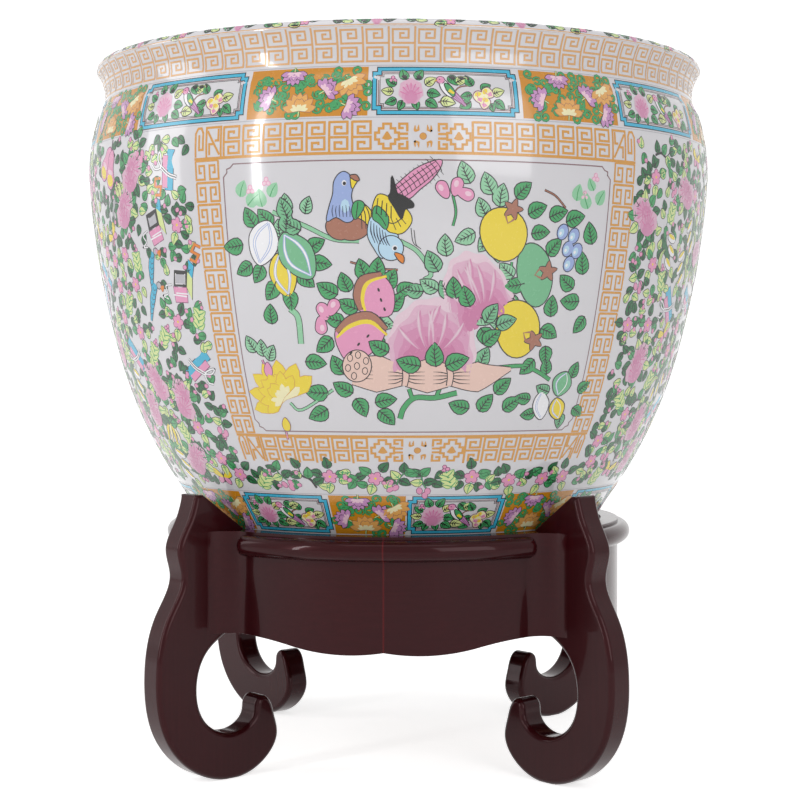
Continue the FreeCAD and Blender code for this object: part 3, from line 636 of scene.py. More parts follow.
class Spot:
    """A place on the chart with a turn, a size and a hand. Called with points drawn in millimetres round it,
    it turns and scales them and gives chart points: sideways millimetres over the bowl's radius there are
    the angle, upward ones the way."""

    def __init__(self, angle, way, turn=0.0, size=1.0, flip=1):
        self.angle, self.way, self.turn, self.size, self.flip = angle, way, turn, size, flip
        self.radius = float(radius_at(way))

    def __call__(self, points):
        x, y = np.asarray(points, float).reshape(-1, 2).T * self.size
        x = x * self.flip
        c, s = math.cos(self.turn), math.sin(self.turn)
        return np.column_stack([self.angle + (x * c - y * s) / self.radius, self.way + x * s + y * c])

    def at(self, x, y, turn=0.0, size=1.0, flip=1):
        """A place given from this one; it keeps this one's turn, size and hand and adds its own."""
        angle, way = self([(x, y)])[0]
        return Spot(angle, way, self.turn + math.radians(turn) * self.flip, self.size * size,
                    self.flip * flip)


def edge_width(width):
    """Millimetres of outline that show round a shape: twice the drawn outline times width, or a half."""
    return (width or 0.5) * settings().outline * 2 / MM


class Painting:
    """Gathers flat shapes on the chart, by colour and coat, and lays them on the bowl as one piece."""

    def __init__(self):
        self.points, self.faces, self.count, self.stroke_number = [], [], 0, 0

    def lay(self, colour, coat, places, faces):
        lift = FIRST_COAT + COAT * coat + STROKE_LIFT * (self.stroke_number % 3)
        self.points.append(np.column_stack([places, np.full(len(places), lift)]))
        self.faces.append((faces + self.count, colour))
        self.count += len(places)

    def fan(self, colour, coat, rim, step=5.0):
        """Fill a rim that its middle can see all of: rings at even shares of the way out from the middle."""
        middle = rim.mean(0)
        scale = np.array([radius_at(middle[1]), 1.0])
        rings = max(1, int(math.ceil(np.hypot(*((rim - middle) * scale).T).max() / step)))
        shares = np.arange(1, rings + 1) / rings
        grid = middle + shares[:, None, None] * (rim - middle)
        count = len(rim)
        here = np.arange(count)
        places = np.vstack([grid.reshape(-1, 2), middle])
        hub = np.column_stack([np.full(count, len(places) - 1), here, (here + 1) % count, np.full(count, -1)])
        faces = hub
        if rings > 1:
            faces = np.vstack([hub, grid_faces(rings, count, close_columns=True)[:, [0, 3, 2, 1]]])
        faces = np.where(faces < 0, -self.count - 1, faces)
        self.lay(colour, coat, places, faces)

    def ribbon(self, colour, coat, path, half, closed=False, step=4.5):
        """A line of paint: the path is pushed half a width to both sides along its mitred normals."""
        path = np.asarray(path, float)
        if closed:
            path = np.vstack([path, path[:1]])
        half = np.broadcast_to(np.asarray(half, float), len(path)) if np.ndim(half) == 0 else np.interp(
            np.linspace(0, 1, len(path)), np.linspace(0, 1, len(half)), half)
        scale = np.array([float(radius_at(path[:, 1].mean())), 1.0])
        flat = path * scale
        length = np.hypot(*np.diff(flat, axis=0).T)
        keep = np.concatenate([[True], length > 1e-6])
        flat, half = flat[keep], half[keep]
        length = np.hypot(*np.diff(flat, axis=0).T)
        direction = np.diff(flat, axis=0) / length[:, None]
        if closed:
            ahead, behind = np.vstack([direction, direction[:1]]), np.vstack([direction[-1:], direction])
        else:
            ahead, behind = np.vstack([direction, direction[-1:]]), np.vstack([direction[:1], direction])
        middle = ahead + behind
        size = np.maximum(np.hypot(*middle.T), 0.5)
        normal = np.column_stack([-middle[:, 1], middle[:, 0]]) / size[:, None]
        mitre = 1 / np.maximum(size / 2, 0.6)
        offset = normal * (half * mitre)[:, None]
        parts = np.maximum(1, np.ceil(length / step).astype(int))
        index = np.repeat(np.arange(len(length)), parts)
        share = np.concatenate([np.arange(n) / n for n in parts])[:, None]
        left, right = (flat + offset) / scale, (flat - offset) / scale
        left = np.vstack([left[index] * (1 - share) + left[index + 1] * share, left[-1:]])
        right = np.vstack([right[index] * (1 - share) + right[index + 1] * share, right[-1:]])
        columns = max(2, int(math.ceil(2 * half.max() / step)) + 1)
        across = np.linspace(0, 1, columns)[:, None, None]
        self.lay(colour, coat, (left * (1 - across) + right * across).reshape(-1, 2),
                 grid_faces(columns, len(left)))

    def patch(self, colour, coat, angles, ways, step=4.0):
        """A field between two angles and two ways, its rows on those of the bowl under it."""
        across = abs(angles[1] - angles[0]) * radius_at(np.mean(ways))
        a = np.linspace(angles[0], angles[1], int(across / step) + 2)
        w = np.concatenate([[ways[0]], WAY[(WAY > ways[0]) & (WAY < ways[1])], [ways[1]]])
        places = np.stack(np.meshgrid(a, w), -1).reshape(-1, 2)
        self.lay(colour, coat, places, grid_faces(len(w), len(a)))

    def figure(self, spot, outline, colour, coat=1, edge="ink", width=None, smooth=True):
        """A filled shape with a dark outline: the same rim, grown along its normals, lies under the fill."""
        self.stroke_number += 1
        rim = loop_curve(outline) if smooth else np.asarray(outline, float)
        if edge:
            along = np.roll(rim, -1, 0) - np.roll(rim, 1, 0)
            along /= np.maximum(np.hypot(*along.T), 1e-9)[:, None]
            outward = np.column_stack([along[:, 1], -along[:, 0]])
            area = np.sum(rim[:, 0] * np.roll(rim[:, 1], -1) - rim[:, 1] * np.roll(rim[:, 0], -1))
            grow = edge_width(width) / getattr(spot, "size", PIXEL_SIZE) * np.sign(area)
            self.fan(edge, coat, spot(rim + outward * grow))
        self.fan(colour, coat + 1, spot(rim))

    def stroke(self, spot, path, half, colour, coat=1, edge=None, width=None, smooth=True):
        """A brush stroke through a few places; half is its half width, or several along it."""
        self.stroke_number += 1
        line = spot(open_curve(path) if smooth else path)
        if edge:
            self.ribbon(edge, coat, line, np.asarray(half) + edge_width(width))
        self.ribbon(colour, coat + 1, line, half)

    def make(self, name):
        if not self.points:
            raise RuntimeError("nothing painted for " + name)
        chart = np.vstack(self.points)
        points, normals = on_bowl(chart[:, 0], chart[:, 1], chart[:, 2])
        names = sorted({colour for _, colour in self.faces})
        faces, owners = [], []
        for block, colour in self.faces:
            # a chart drawn counter-clockwise faces outwards; the others are turned round here
            first = block[:, :3]
            corner = chart[first][:, :, :2]
            one, two = corner[:, 1] - corner[:, 0], corner[:, 2] - corner[:, 0]
            side = one[:, 0] * two[:, 1] - one[:, 1] * two[:, 0]
            for row, turned in zip(block.tolist(), side < 0):
                row = row[:3] if row[3] < 0 else row
                faces.append(row[::-1] if turned else row)
            owners.append(np.full(len(block), names.index(colour)))
        return new_piece(name, points, faces, "bowl", [enamel(n) for n in names],
                         np.concatenate(owners), normals)


# ---------------------------------------------------------------- motifs, drawn in millimetres round a spot

def oval(x, y, wide, high, turn=0.0, count=8, bump=0.0, lobes=0):
    """Ellipse, its radius times 1 + bump * cos(lobes * angle), turned by degrees."""
    t = np.arange(count) * FULL_TURN / count
    size = 1 + bump * np.cos(lobes * t)
    flat = np.column_stack([wide / 2 * np.cos(t), high / 2 * np.sin(t)]) * size[:, None]
    c, s = math.cos(math.radians(turn)), math.sin(math.radians(turn))
    return flat @ np.array([[c, s], [-s, c]]) + (x, y)


def leaf(p, spot, length=14.0, shade="leaf", coat=1, veins=4, edge="ink"):
    """Broad pointed leaf with a midrib and bowed veins; it points along +X from its stalk at the spot."""
    t = np.array([0, 0.06, 0.2, 0.4, 0.6, 0.8, 0.92, 1.0])
    half = 0.36 * length * np.array([0, 0.5, 0.92, 1.0, 0.84, 0.5, 0.2, 0])
    bow = 0.05 * length * np.sin(math.pi * t)
    rim = np.vstack([np.column_stack([t * length, half + bow]),
                     np.column_stack([t[-2:0:-1] * length, (bow - half)[-2:0:-1]])])
    p.figure(spot, rim, shade, coat, edge, 0.55 if length > 9 else 0.4, smooth=False)
    dark = "ink" if veins > 1 else {"leaf": "deep", "mid": "deep", "deep": "ink", "pale": "leaf",
            "lime": "leaf"}.get(shade, "ink")
    p.ribbon(dark, coat + 2, spot([(-0.05 * length, 0), (0.5 * length, 0.05 * length), (0.93 * length, 0)]),
             (0.42, 0.36, 0.18))
    for k in range(veins):
        x = length * (0.14 + 0.17 * k)
        y = 0.27 * length * (1 - 0.17 * k)
        for side in (1, -1):
            p.ribbon(dark, coat + 2, spot([(x, 0.04 * length), (x + 0.1 * length, side * 0.6 * y),
                    (x + 0.17 * length, side * y)]), (0.32, 0.26, 0.12))


def leaves(p, spot, places, long):
    """Leaves of one length round a spot, each by its place, its turn in degrees and its colour."""
    for x, y, turn, shade in places:
        leaf(p, spot.at(x, y, turn), long, shade, 1, 1)


def curl_leaf(p, spot, length=14.0, shade="pale", coat=1):
    """A leaf seen from its edge: a bent tapering stroke with a dark back."""
    path = [(0, 0), (0.35 * length, 0.22 * length), (0.75 * length, 0.2 * length), (length, -0.05 * length)]
    p.stroke(spot, path, (0.2, 1.6, 1.9, 0.2), shade, coat, "ink")
    p.ribbon("leaf", coat + 2, spot(open_curve(path)), (0.15, 0.3, 0.3, 0.1))


def blossom(p, spot, size=8.0, petals=5, fill="pink", heart="yellow", edge="plum", coat=1):
    """Round petals on a circle round a small heart."""
    for k in range(petals):
        turn = 360 * k / petals + 90
        x, y = 0.3 * size * math.cos(math.radians(turn)), 0.3 * size * math.sin(math.radians(turn))
        p.figure(spot, oval(x, y, 0.5 * size, 0.42 * size, turn, 7), fill, coat, edge, 0.4, smooth=False)
    if heart:
        p.fan(heart, coat + 2, spot(oval(0, 0, 0.2 * size, 0.2 * size, 0, 6)))


def peony(p, spot, wide=46.0, high=46.0, coat=1):
    """Domed flower of washed petals: a scalloped dome in five tints, pale at the rim and rosy at the foot,
    each tint the same dome drawn nearer to the foot; over it the pale edges of the petals and their rosy
    shades run out from the foot in bowed strokes."""
    t = np.linspace(-0.12, 1.12, 81) * math.pi
    bump = 1 + 0.02 * np.cos(13 * t)
    dome = np.column_stack([0.5 * wide * np.cos(t) * bump, high * (0.12 + 0.86 * np.sin(t) * bump)])
    foot = spot.at(0, -0.5 * high)
    for k, size in enumerate((1.0, 0.88, 0.76, 0.6, 0.42)):
        wave = 1 + (0.045 * np.cos(6 * t + 1.7 * k) if k else 0 * t)
        p.fan("petal_%d" % (k + 1), coat + k, foot(np.column_stack([dome[:, 0] * size ** 0.6,
                dome[:, 1] * size]) * wave[:, None]))
    strokes = ((80, 0.16, 0.8, 26), (104, 0.2, 0.84, -24), (52, 0.2, 0.8, 30), (130, 0.2, 0.86, -30),
               (28, 0.3, 0.9, 22),
               (155, 0.3, 0.88, -18), (92, 0.5, 0.9, -26))
    for turn, start, end, bend in strokes:
        share = np.linspace(start, end, 9)
        way = np.radians(turn + bend * (share - start))
        line = np.column_stack([0.5 * wide * share * np.cos(way), high * (0.1 + 0.86 * share * np.sin(way))])
        p.ribbon("petal_4", coat + 5, foot(line + (0.02 * wide, 0)), (0.1, 1.4, 1.6, 0.2))
        p.ribbon("petal_2", coat + 6, foot(line), (0.1, 0.7, 1.3, 0.3))
        p.ribbon("petal_1", coat + 7, foot(line[2:]), (0.1, 0.3, 0.7, 0.1))


def puff(p, spot, wide=18.0, high=22.0, coat=1):
    """A peony seen small: a scalloped dome in three tints with brushed strokes fanned from its foot."""
    for k, shade in enumerate(("petal_2", "petal_3", "petal_4")):
        size = 1 - 0.24 * k
        p.fan(shade, coat + k, spot(oval(0, -0.12 * k * high, wide * size, high * size, 90, 20, 0.07, 7)))
    for k in range(7):
        turn = math.radians(20 + 23 * k)
        c, s = math.cos(turn), math.sin(turn)
        p.ribbon("rose", coat + 3, spot([(0.1 * wide * c, 0.2 * high * s - 0.25 * high),
                (0.42 * wide * c, 0.62 * high * s - 0.25 * high)]), (0.1, 0.4))


def star_fruit(p, spot, wide=24.0, high=30.0, shade="yellow", coat=1):
    """Ribbed fruit: a long oval pointed at both ends, with pale ridges from end to end."""
    rim = [(0, 0.52 * high), (0.3 * wide, 0.36 * high), (0.5 * wide, 0.06 * high),
           (0.38 * wide, -0.28 * high), (0.06 * wide, -0.52 * high),
           (-0.3 * wide, -0.34 * high), (-0.5 * wide, 0.04 * high), (-0.34 * wide, 0.36 * high)]
    p.figure(spot, rim, shade, coat, "ink", 0.55)
    for bend in (-0.24, 0.2):
        path = [(0, 0.48 * high), (bend * wide, 0.2 * high), (1.15 * bend * wide, -0.1 * high),
                (0.05 * wide, -0.47 * high)]
        p.stroke(spot, path, (0.2, 0.02 * high, 0.02 * high, 0.2), "white", coat + 1, "blue",
                 0.008 * high + 0.1)


def persimmon(p, spot, wide=34.0, high=38.0, shade="yellow", calyx=(0.3, 0.36), coat=1):
    """Smooth round fruit with a five-pointed brown calyx and the dimple strokes beside it."""
    p.figure(spot, oval(0, 0, wide, high, 15, 28, 0.02, 3), shade, coat, "ink", 0.6, smooth=False)
    x, y = calyx[0] * wide, calyx[1] * high
    lean = math.degrees(math.atan2(y, x))
    for side in (-1, 1):
        a = math.radians(lean + 180 + 50 * side)
        p.stroke(spot, [(x + 3 * math.cos(a), y + 3 * math.sin(a)),
                        (x + 7 * math.cos(a - 0.4 * side), y + 7 * math.sin(a - 0.4 * side)),
                        (x + 11 * math.cos(a - 0.9 * side), y + 11 * math.sin(a - 0.9 * side))],
                 (0.4, 0.8, 0.2), "brown", coat + 2)
    for k in range(5):
        point = spot.at(x, y, lean + 72 * k)
        p.figure(point, [(-0.6, 0), (2.4, 2.2), (7.6, 0), (2.4, -2.2)], "brown", coat + 2, "ink", 0.4)


def melon_slice(p, spot, wide=26.0, high=26.0, coat=1):
    """Wedge of melon: brown rind bent round the left, a yellow band, pink flesh and dark seeds."""
    p.figure(spot, [(-0.5 * wide, 0.05 * high), (-0.3 * wide, 0.42 * high), (0.15 * wide, 0.5 * high),
                    (0.5 * wide, 0.1 * high),
                    (0.45 * wide, -0.45 * high), (0, -0.5 * high), (-0.4 * wide, -0.35 * high)], "pink", coat)
    rind = [(0.2 * wide, 0.5 * high), (-0.28 * wide, 0.36 * high), (-0.44 * wide, 0),
            (-0.36 * wide, -0.36 * high)]
    p.stroke(spot, rind, (1.2, 2.6, 2.6, 1.4), "brown", coat + 2, "ink")
    p.stroke(spot.at(0.13 * wide, -0.06 * high), rind, (0.6, 1.6, 1.6, 0.8), "yellow", coat + 1, "gold", 0.3)
    for x, y in ((0.12, 0.12), (0.18, -0.12), (0.27, -0.34)):
        p.figure(spot.at(x * wide, y * high), oval(0, 0, 1.6, 3.0, 20, 8), "black", coat + 3, None,
                 smooth=False)


def bird(p, spot, coat=2, head="blue", belly="blush", wing="leaf", tail="lilac"):
    """Small songbird on a twig, 24 mm from crown to tail tip, its tail down to the right."""
    p.stroke(spot, [(2, -2), (7, -8), (11.5, -14)], (2.4, 1.6, 0.4), tail, coat, "plum")
    for side in (-0.7, 0.6):
        p.ribbon("plum", coat + 2, spot([(3 + side, -3), (10.5 + side, -13)]), (0.2, 0.1))
    p.figure(spot, [(-4.5, 6), (-1.5, 8), (2.5, 3), (4.5, -2), (3, -6), (-1, -4), (-4, 1)], belly, coat + 1)
    p.figure(spot, [(-0.8, 5), (2.8, 2.5), (5, -2.5), (3.4, -5.5), (0.6, -2), (-0.8, 1.5)], wing, coat + 3)
    p.stroke(spot, [(1.2, -0.5), (4.4, -3.6)], (1.3, 0.8), "yellow", coat + 4, None)
    p.figure(spot, oval(-3.6, 8.2, 5.6, 5.4, 0, 10), head, coat + 2, "plum", smooth=False)
    p.fan("black", coat + 5, spot(oval(-4.2, 8.7, 1.0, 1.0, 0, 6)))
    p.stroke(spot, [(-6.2, 8.4), (-8.4, 7.4)], (0.7, 0.1), "gold", coat + 3)


def lotus(p, spot, size=14.0, tip="lilac", body="white", edge="ink", coat=2):
    """Opened lotus: pointed petals fanned through 160 degrees, the back ones first, with coloured tips."""
    for number, (turn, long) in enumerate(((90, 1.0), (112, 0.98), (68, 0.98), (140, 0.96), (40, 0.96),
            (168, 0.92), (12, 0.92), (101, 0.66), (79, 0.66))):
        p.stroke_number += 1
        a = math.radians(turn)
        reach = size * 0.62 * long
        along = np.array([(0, 0), (0.3, 0.5), (0.62, 1.0), (0.85, 0.6), (1.0, 0), (0.85, -0.6), (0.62, -1.0),
                (0.3, -0.5)])
        x, y = along[:, 0] * reach, along[:, 1] * 0.125 * size
        rim = np.column_stack([x * math.cos(a) - y * math.sin(a), x * math.sin(a) + y * math.cos(a)])
        layer = coat + min(2, number // 3)
        p.figure(spot, rim, tip, layer, edge, 0.32, smooth=False)
        p.fan(body, layer + 2, spot(rim * 0.55))


def spiral(p, spot, size=6.0, shade="leaf", edge="deep", coat=1, turns=1.3):
    """Curled tendril: its radius falls evenly with the angle, and it tapers to a drop at the heart."""
    t = np.linspace(0, turns * FULL_TURN, 12)
    radius = size / 2 * (1 - 0.8 * t / t[-1])
    path = np.column_stack([radius * np.cos(t) - size / 2, radius * np.sin(t)])
    p.stroke(spot, path, (0.3, 0.6, 0.8, 0.9), shade, coat, edge, 0.26, smooth=False)


def peach(p, spot, size=12.0, coat=2):
    """Peach: yellow at the stalk, pink at the tip, a crease down the middle."""
    p.figure(spot, [(0, 0.5 * size), (0.45 * size, 0.2 * size), (0.36 * size, -0.3 * size), (0, -0.62 * size),
                    (-0.36 * size, -0.3 * size), (-0.45 * size, 0.2 * size)],
             "cream", coat, "plum")
    p.fan("yellow", coat + 2, spot(oval(0, 0.22 * size, 0.6 * size, 0.4 * size, 0, 10)))
    p.fan("pink", coat + 2, spot([(0.3 * size, -0.25 * size), (0, -0.56 * size), (-0.3 * size, -0.25 * size),
            (0, -0.1 * size)]))
    p.ribbon("rose", coat + 3, spot(open_curve([(0.05 * size, 0.4 * size), (-0.12 * size, 0),
            (0, -0.5 * size)])), (0.15, 0.25, 0.1))


# ---------------------------------------------------------------- bands and frets

def square_spiral(p, angle, way, wide, high, line, left_hand=True, coat=1, shade="gold"):
    """One cell of the fret: along the top, down the far side, back, up and a short hook; wide in radians."""
    turns = [(0.0, 0.96), (0.84, 0.96), (0.84, 0.14), (0.26, 0.14), (0.26, 0.6), (0.56, 0.6), (0.56, 0.44)]
    path = np.array([((x if left_hand else 1 - x) * wide + angle, y * high + way) for x, y in turns])
    p.ribbon(shade, coat, path, line / 2)


def paint_neck_fret():
    """Two rows of square spirals round the neck, hung on upright bars from a gold line, 84 to the turn."""
    p = Painting()
    line = 0.85 * settings().fret_line / MM
    low, high = way_of(527.2), way_of(551.0)
    middle = (low + high) / 2
    count = 84
    pitch = FULL_TURN / count
    p.ribbon("sand", 2, [(a, high + 1.2) for a in np.linspace(0, FULL_TURN, 361)], 0.9)
    for k in range(count):
        start = (k - 0.5) * pitch
        p.ribbon("sand", 1, [(start + 0.95 * pitch, low), (start + 0.95 * pitch, high)], line / 2)
        for base in (low, middle):
            tall = middle - low
            turns = [(0.95, 0.06), (0.1, 0.06), (0.1, 0.82), (0.7, 0.82), (0.7, 0.34), (0.38, 0.34),
                     (0.38, 0.6), (0.55, 0.6)]
            p.ribbon("sand", 1, [(start + x * pitch, base + y * tall) for x, y in turns], line / 2)
    p.make("neck_fret")


def step_frame(angle, way, half_wide, half_high, notch, radius):
    """Rectangle whose corners step in by a notch; widths in millimetres over the radius."""
    corners = []
    for sx, sy in ((-1, 1), (1, 1), (1, -1), (-1, -1)):
        outer = [(sx * (half_wide - notch), sy * half_high),
                 (sx * (half_wide - notch), sy * (half_high - notch)),
                 (sx * half_wide, sy * (half_high - notch))]
        corners += outer if sx * sy > 0 else outer[::-1]
    order = np.array(corners)
    return np.column_stack([angle + order[:, 0] / radius, way + order[:, 1]])


def paint_cartouche(p, angle, way, half_wide, half_high):
    """White field in a turquoise frame with black lines, and in it a peony, a bird and a spray of peaches."""
    radius = radius_at(way)
    for inset, shade, half, coat in ((0, "black", 0.35, 2), (1.5, "turquoise", 1.35, 1),
            (3.0, "black", 0.3, 2),
                                     (4.4, "mauve", 0.35, 1), (5.4, "black", 0.22, 1)):
        rim = step_frame(angle, way, half_wide - inset, half_high - inset, 3.4 if inset < 4 else 2.6, radius)
        p.ribbon(shade, coat, rim, half, closed=True)
    scale = half_high / 18.0
    here = Spot(angle, way, 0, scale)
    broad = half_wide / (scale * 50.0)
    at = lambda x, y, turn=0.0, size=1.0: here.at(x * broad, y, turn, size)
    for x, y, turn, long, shade in (
            (-27, 8, 110, 9, "leaf"), (-20, 8, 60, 9, "leaf"), (-34, 4, 150, 8, "leaf"),
                    (-14, 4, 35, 9, "lime"),
            (-13, -2, -10, 9, "leaf"), (-14, -8, -30, 9, "leaf"), (-34, -7, 200, 8, "leaf"),
                    (-30, -8, 250, 7, "leaf"),
            (-22, -8, 290, 7, "leaf"), (-36, -1, 175, 8, "lime"), (-4, -8, -8, 10, "lime"),
                    (2, 11, -50, 9, "leaf"),
            (7, 6, 25, 9, "lime"), (18, 4, 120, 9, "leaf"), (24, 1, 30, 8, "leaf"), (17, -3, 190, 8, "leaf"),
            (16, -8, 210, 9, "leaf"), (32, -2, 20, 9, "lime"), (33, -7, -40, 9, "leaf"),
                    (30, -9, -75, 6, "leaf")):
        leaf(p, at(x, y, turn), long, shade, 1, 2)
    puff(p, at(-24, -1), 19, 17, 3)
    blossom(p, at(-36, 8), 5, 3, "pink", None, coat=1)
    p.stroke(here, [(-6 * broad, -9), (2 * broad, -6), (8 * broad, 2), (15 * broad, 4)], 0.25, "brown", 1,
             "ink", 0.2)
    bird(p, at(0.5, 0.5, 8, 0.95), 3, head="pink", belly="white", wing="leaf", tail="lilac")
    for x, y, turn in ((22, -4, 20), (28, -1, 60), (26, -8, -15)):
        peach(p, at(x, y, turn), 8.0, 2)


def paint_ochre_field(p, low_angle, high_angle, low_way, high_way, hand):
    """Ochre ground full of green tendrils, with lilac and orange lotus on it."""
    p.patch("ochre", 0, (low_angle, high_angle), (low_way, high_way))
    middle = (low_way + high_way) / 2
    radius = radius_at(middle)
    wide, high = (high_angle - low_angle) * radius, high_way - low_way
    here = Spot((low_angle + high_angle) / 2, middle, 0, 1)
    rng = np.random.default_rng(7)
    rows, columns = 5, max(6, int(wide / 6.6))
    for row in range(rows):
        for column in range(columns):
            place = column + 0.5 + 0.25 * (row % 2) + 0.12 * rng.standard_normal()
            x = place * wide / (columns + 0.3) - wide / 2
            y = (row + 0.5) * (high - 5) / rows - (high - 5) / 2
            if abs(x) < wide / 2 - 3.5:
                spiral(p, here.at(x, y, 360 * rng.random(), 1, hand if (row + column) % 2 else -hand), 8.0,
                       "leaf", "deep", 1)
    size = high / 36.0
    for x, y, turn, tip, body in ((-0.29, -0.12, 70, "lilac", "blush"), (-0.12, 0.42, 180, "lilac", "blush"),
                                  (-0.05, -0.38, 0, "amber", "cream"), (0.15, 0.0, -50, "lilac", "blush"),
                                  (0.34, 0.22, -150, "amber", "cream"), (0.33, -0.3, -110, "lilac", "blush")):
        spot = here.at(x * wide, y * high, turn, size)
        p.stroke(spot, [(0, 0), (-0.6, -4)], 0.4, "lime", 2, "ink", 0.25)
        lotus(p, spot, 17.0 if tip == "lilac" else 21.0, tip, body, "ink" if tip == "lilac" else "brown", 3)


def paint_band(name, low, high, cartouche_angle, gap, first, slips):
    """Eight cartouches and eight ochre fields by turns round the bowl, with a grey line above and below."""
    p = Painting()
    low_way, high_way = way_of(low), way_of(high)
    middle = (low_way + high_way) / 2
    radius = radius_at(middle)
    unit = FULL_TURN / 8
    for k in range(8):
        centre = math.radians(first + slips[k]) + k * unit
        paint_cartouche(p, centre, middle, cartouche_angle * radius / 2, (high_way - low_way) / 2 - 0.5)
        edge = centre + cartouche_angle / 2 + gap
        far = math.radians(first + slips[(k + 1) % 8]) + (k + 1) * unit - cartouche_angle / 2 - gap
        paint_ochre_field(p, edge, far, low_way, high_way, 1 if k % 2 else -1)
    for line in (low_way - 1.2, high_way + 1.0):
        p.ribbon("grey", 0, [(a, line) for a in np.linspace(0, FULL_TURN, 361)], 0.3)
    p.make(name)


FIRST_UPPER, FIRST_LOWER = 10.6, 18.2  # middle of the first cartouche of each band, degrees from the front
PANEL_LEFT, PANEL_RIGHT = math.radians(-31.7), math.radians(46.4)
PANEL_TOP, PANEL_TOP_IN, PANEL_LOW_IN, PANEL_LOW = 486.0, 462.2, 264.6, 243.5
BORDER_ANGLE = math.radians(5.0)


# lines of the border's corners, across in widths of the border and up in heights of the cell
CORNER_LINES = (
    ((0.05, 0.08), (0.05, 0.8), (0.14, 0.95), (0.28, 0.95), (0.36, 0.8), (0.36, 0.3), (0.2, 0.3),
     (0.2, 0.75)),
    ((0.5, 0.05), (0.5, 0.95), (1.08, 0.95), (1.08, 0.05)),
    ((0.55, 0.85), (1.02, 0.12)),
    ((0.62, 0.12), (0.62, 0.45), (0.78, 0.45)),
    ((0.98, 0.9), (0.98, 0.55), (0.84, 0.55)),
)


def border_cell(start, side, bottom, tall):
    """Maker of chart points in one cell of the border, from shares of its width and height."""
    return lambda *shares: [(start + side * x * BORDER_ANGLE, bottom + y * tall) for x, y in shares]


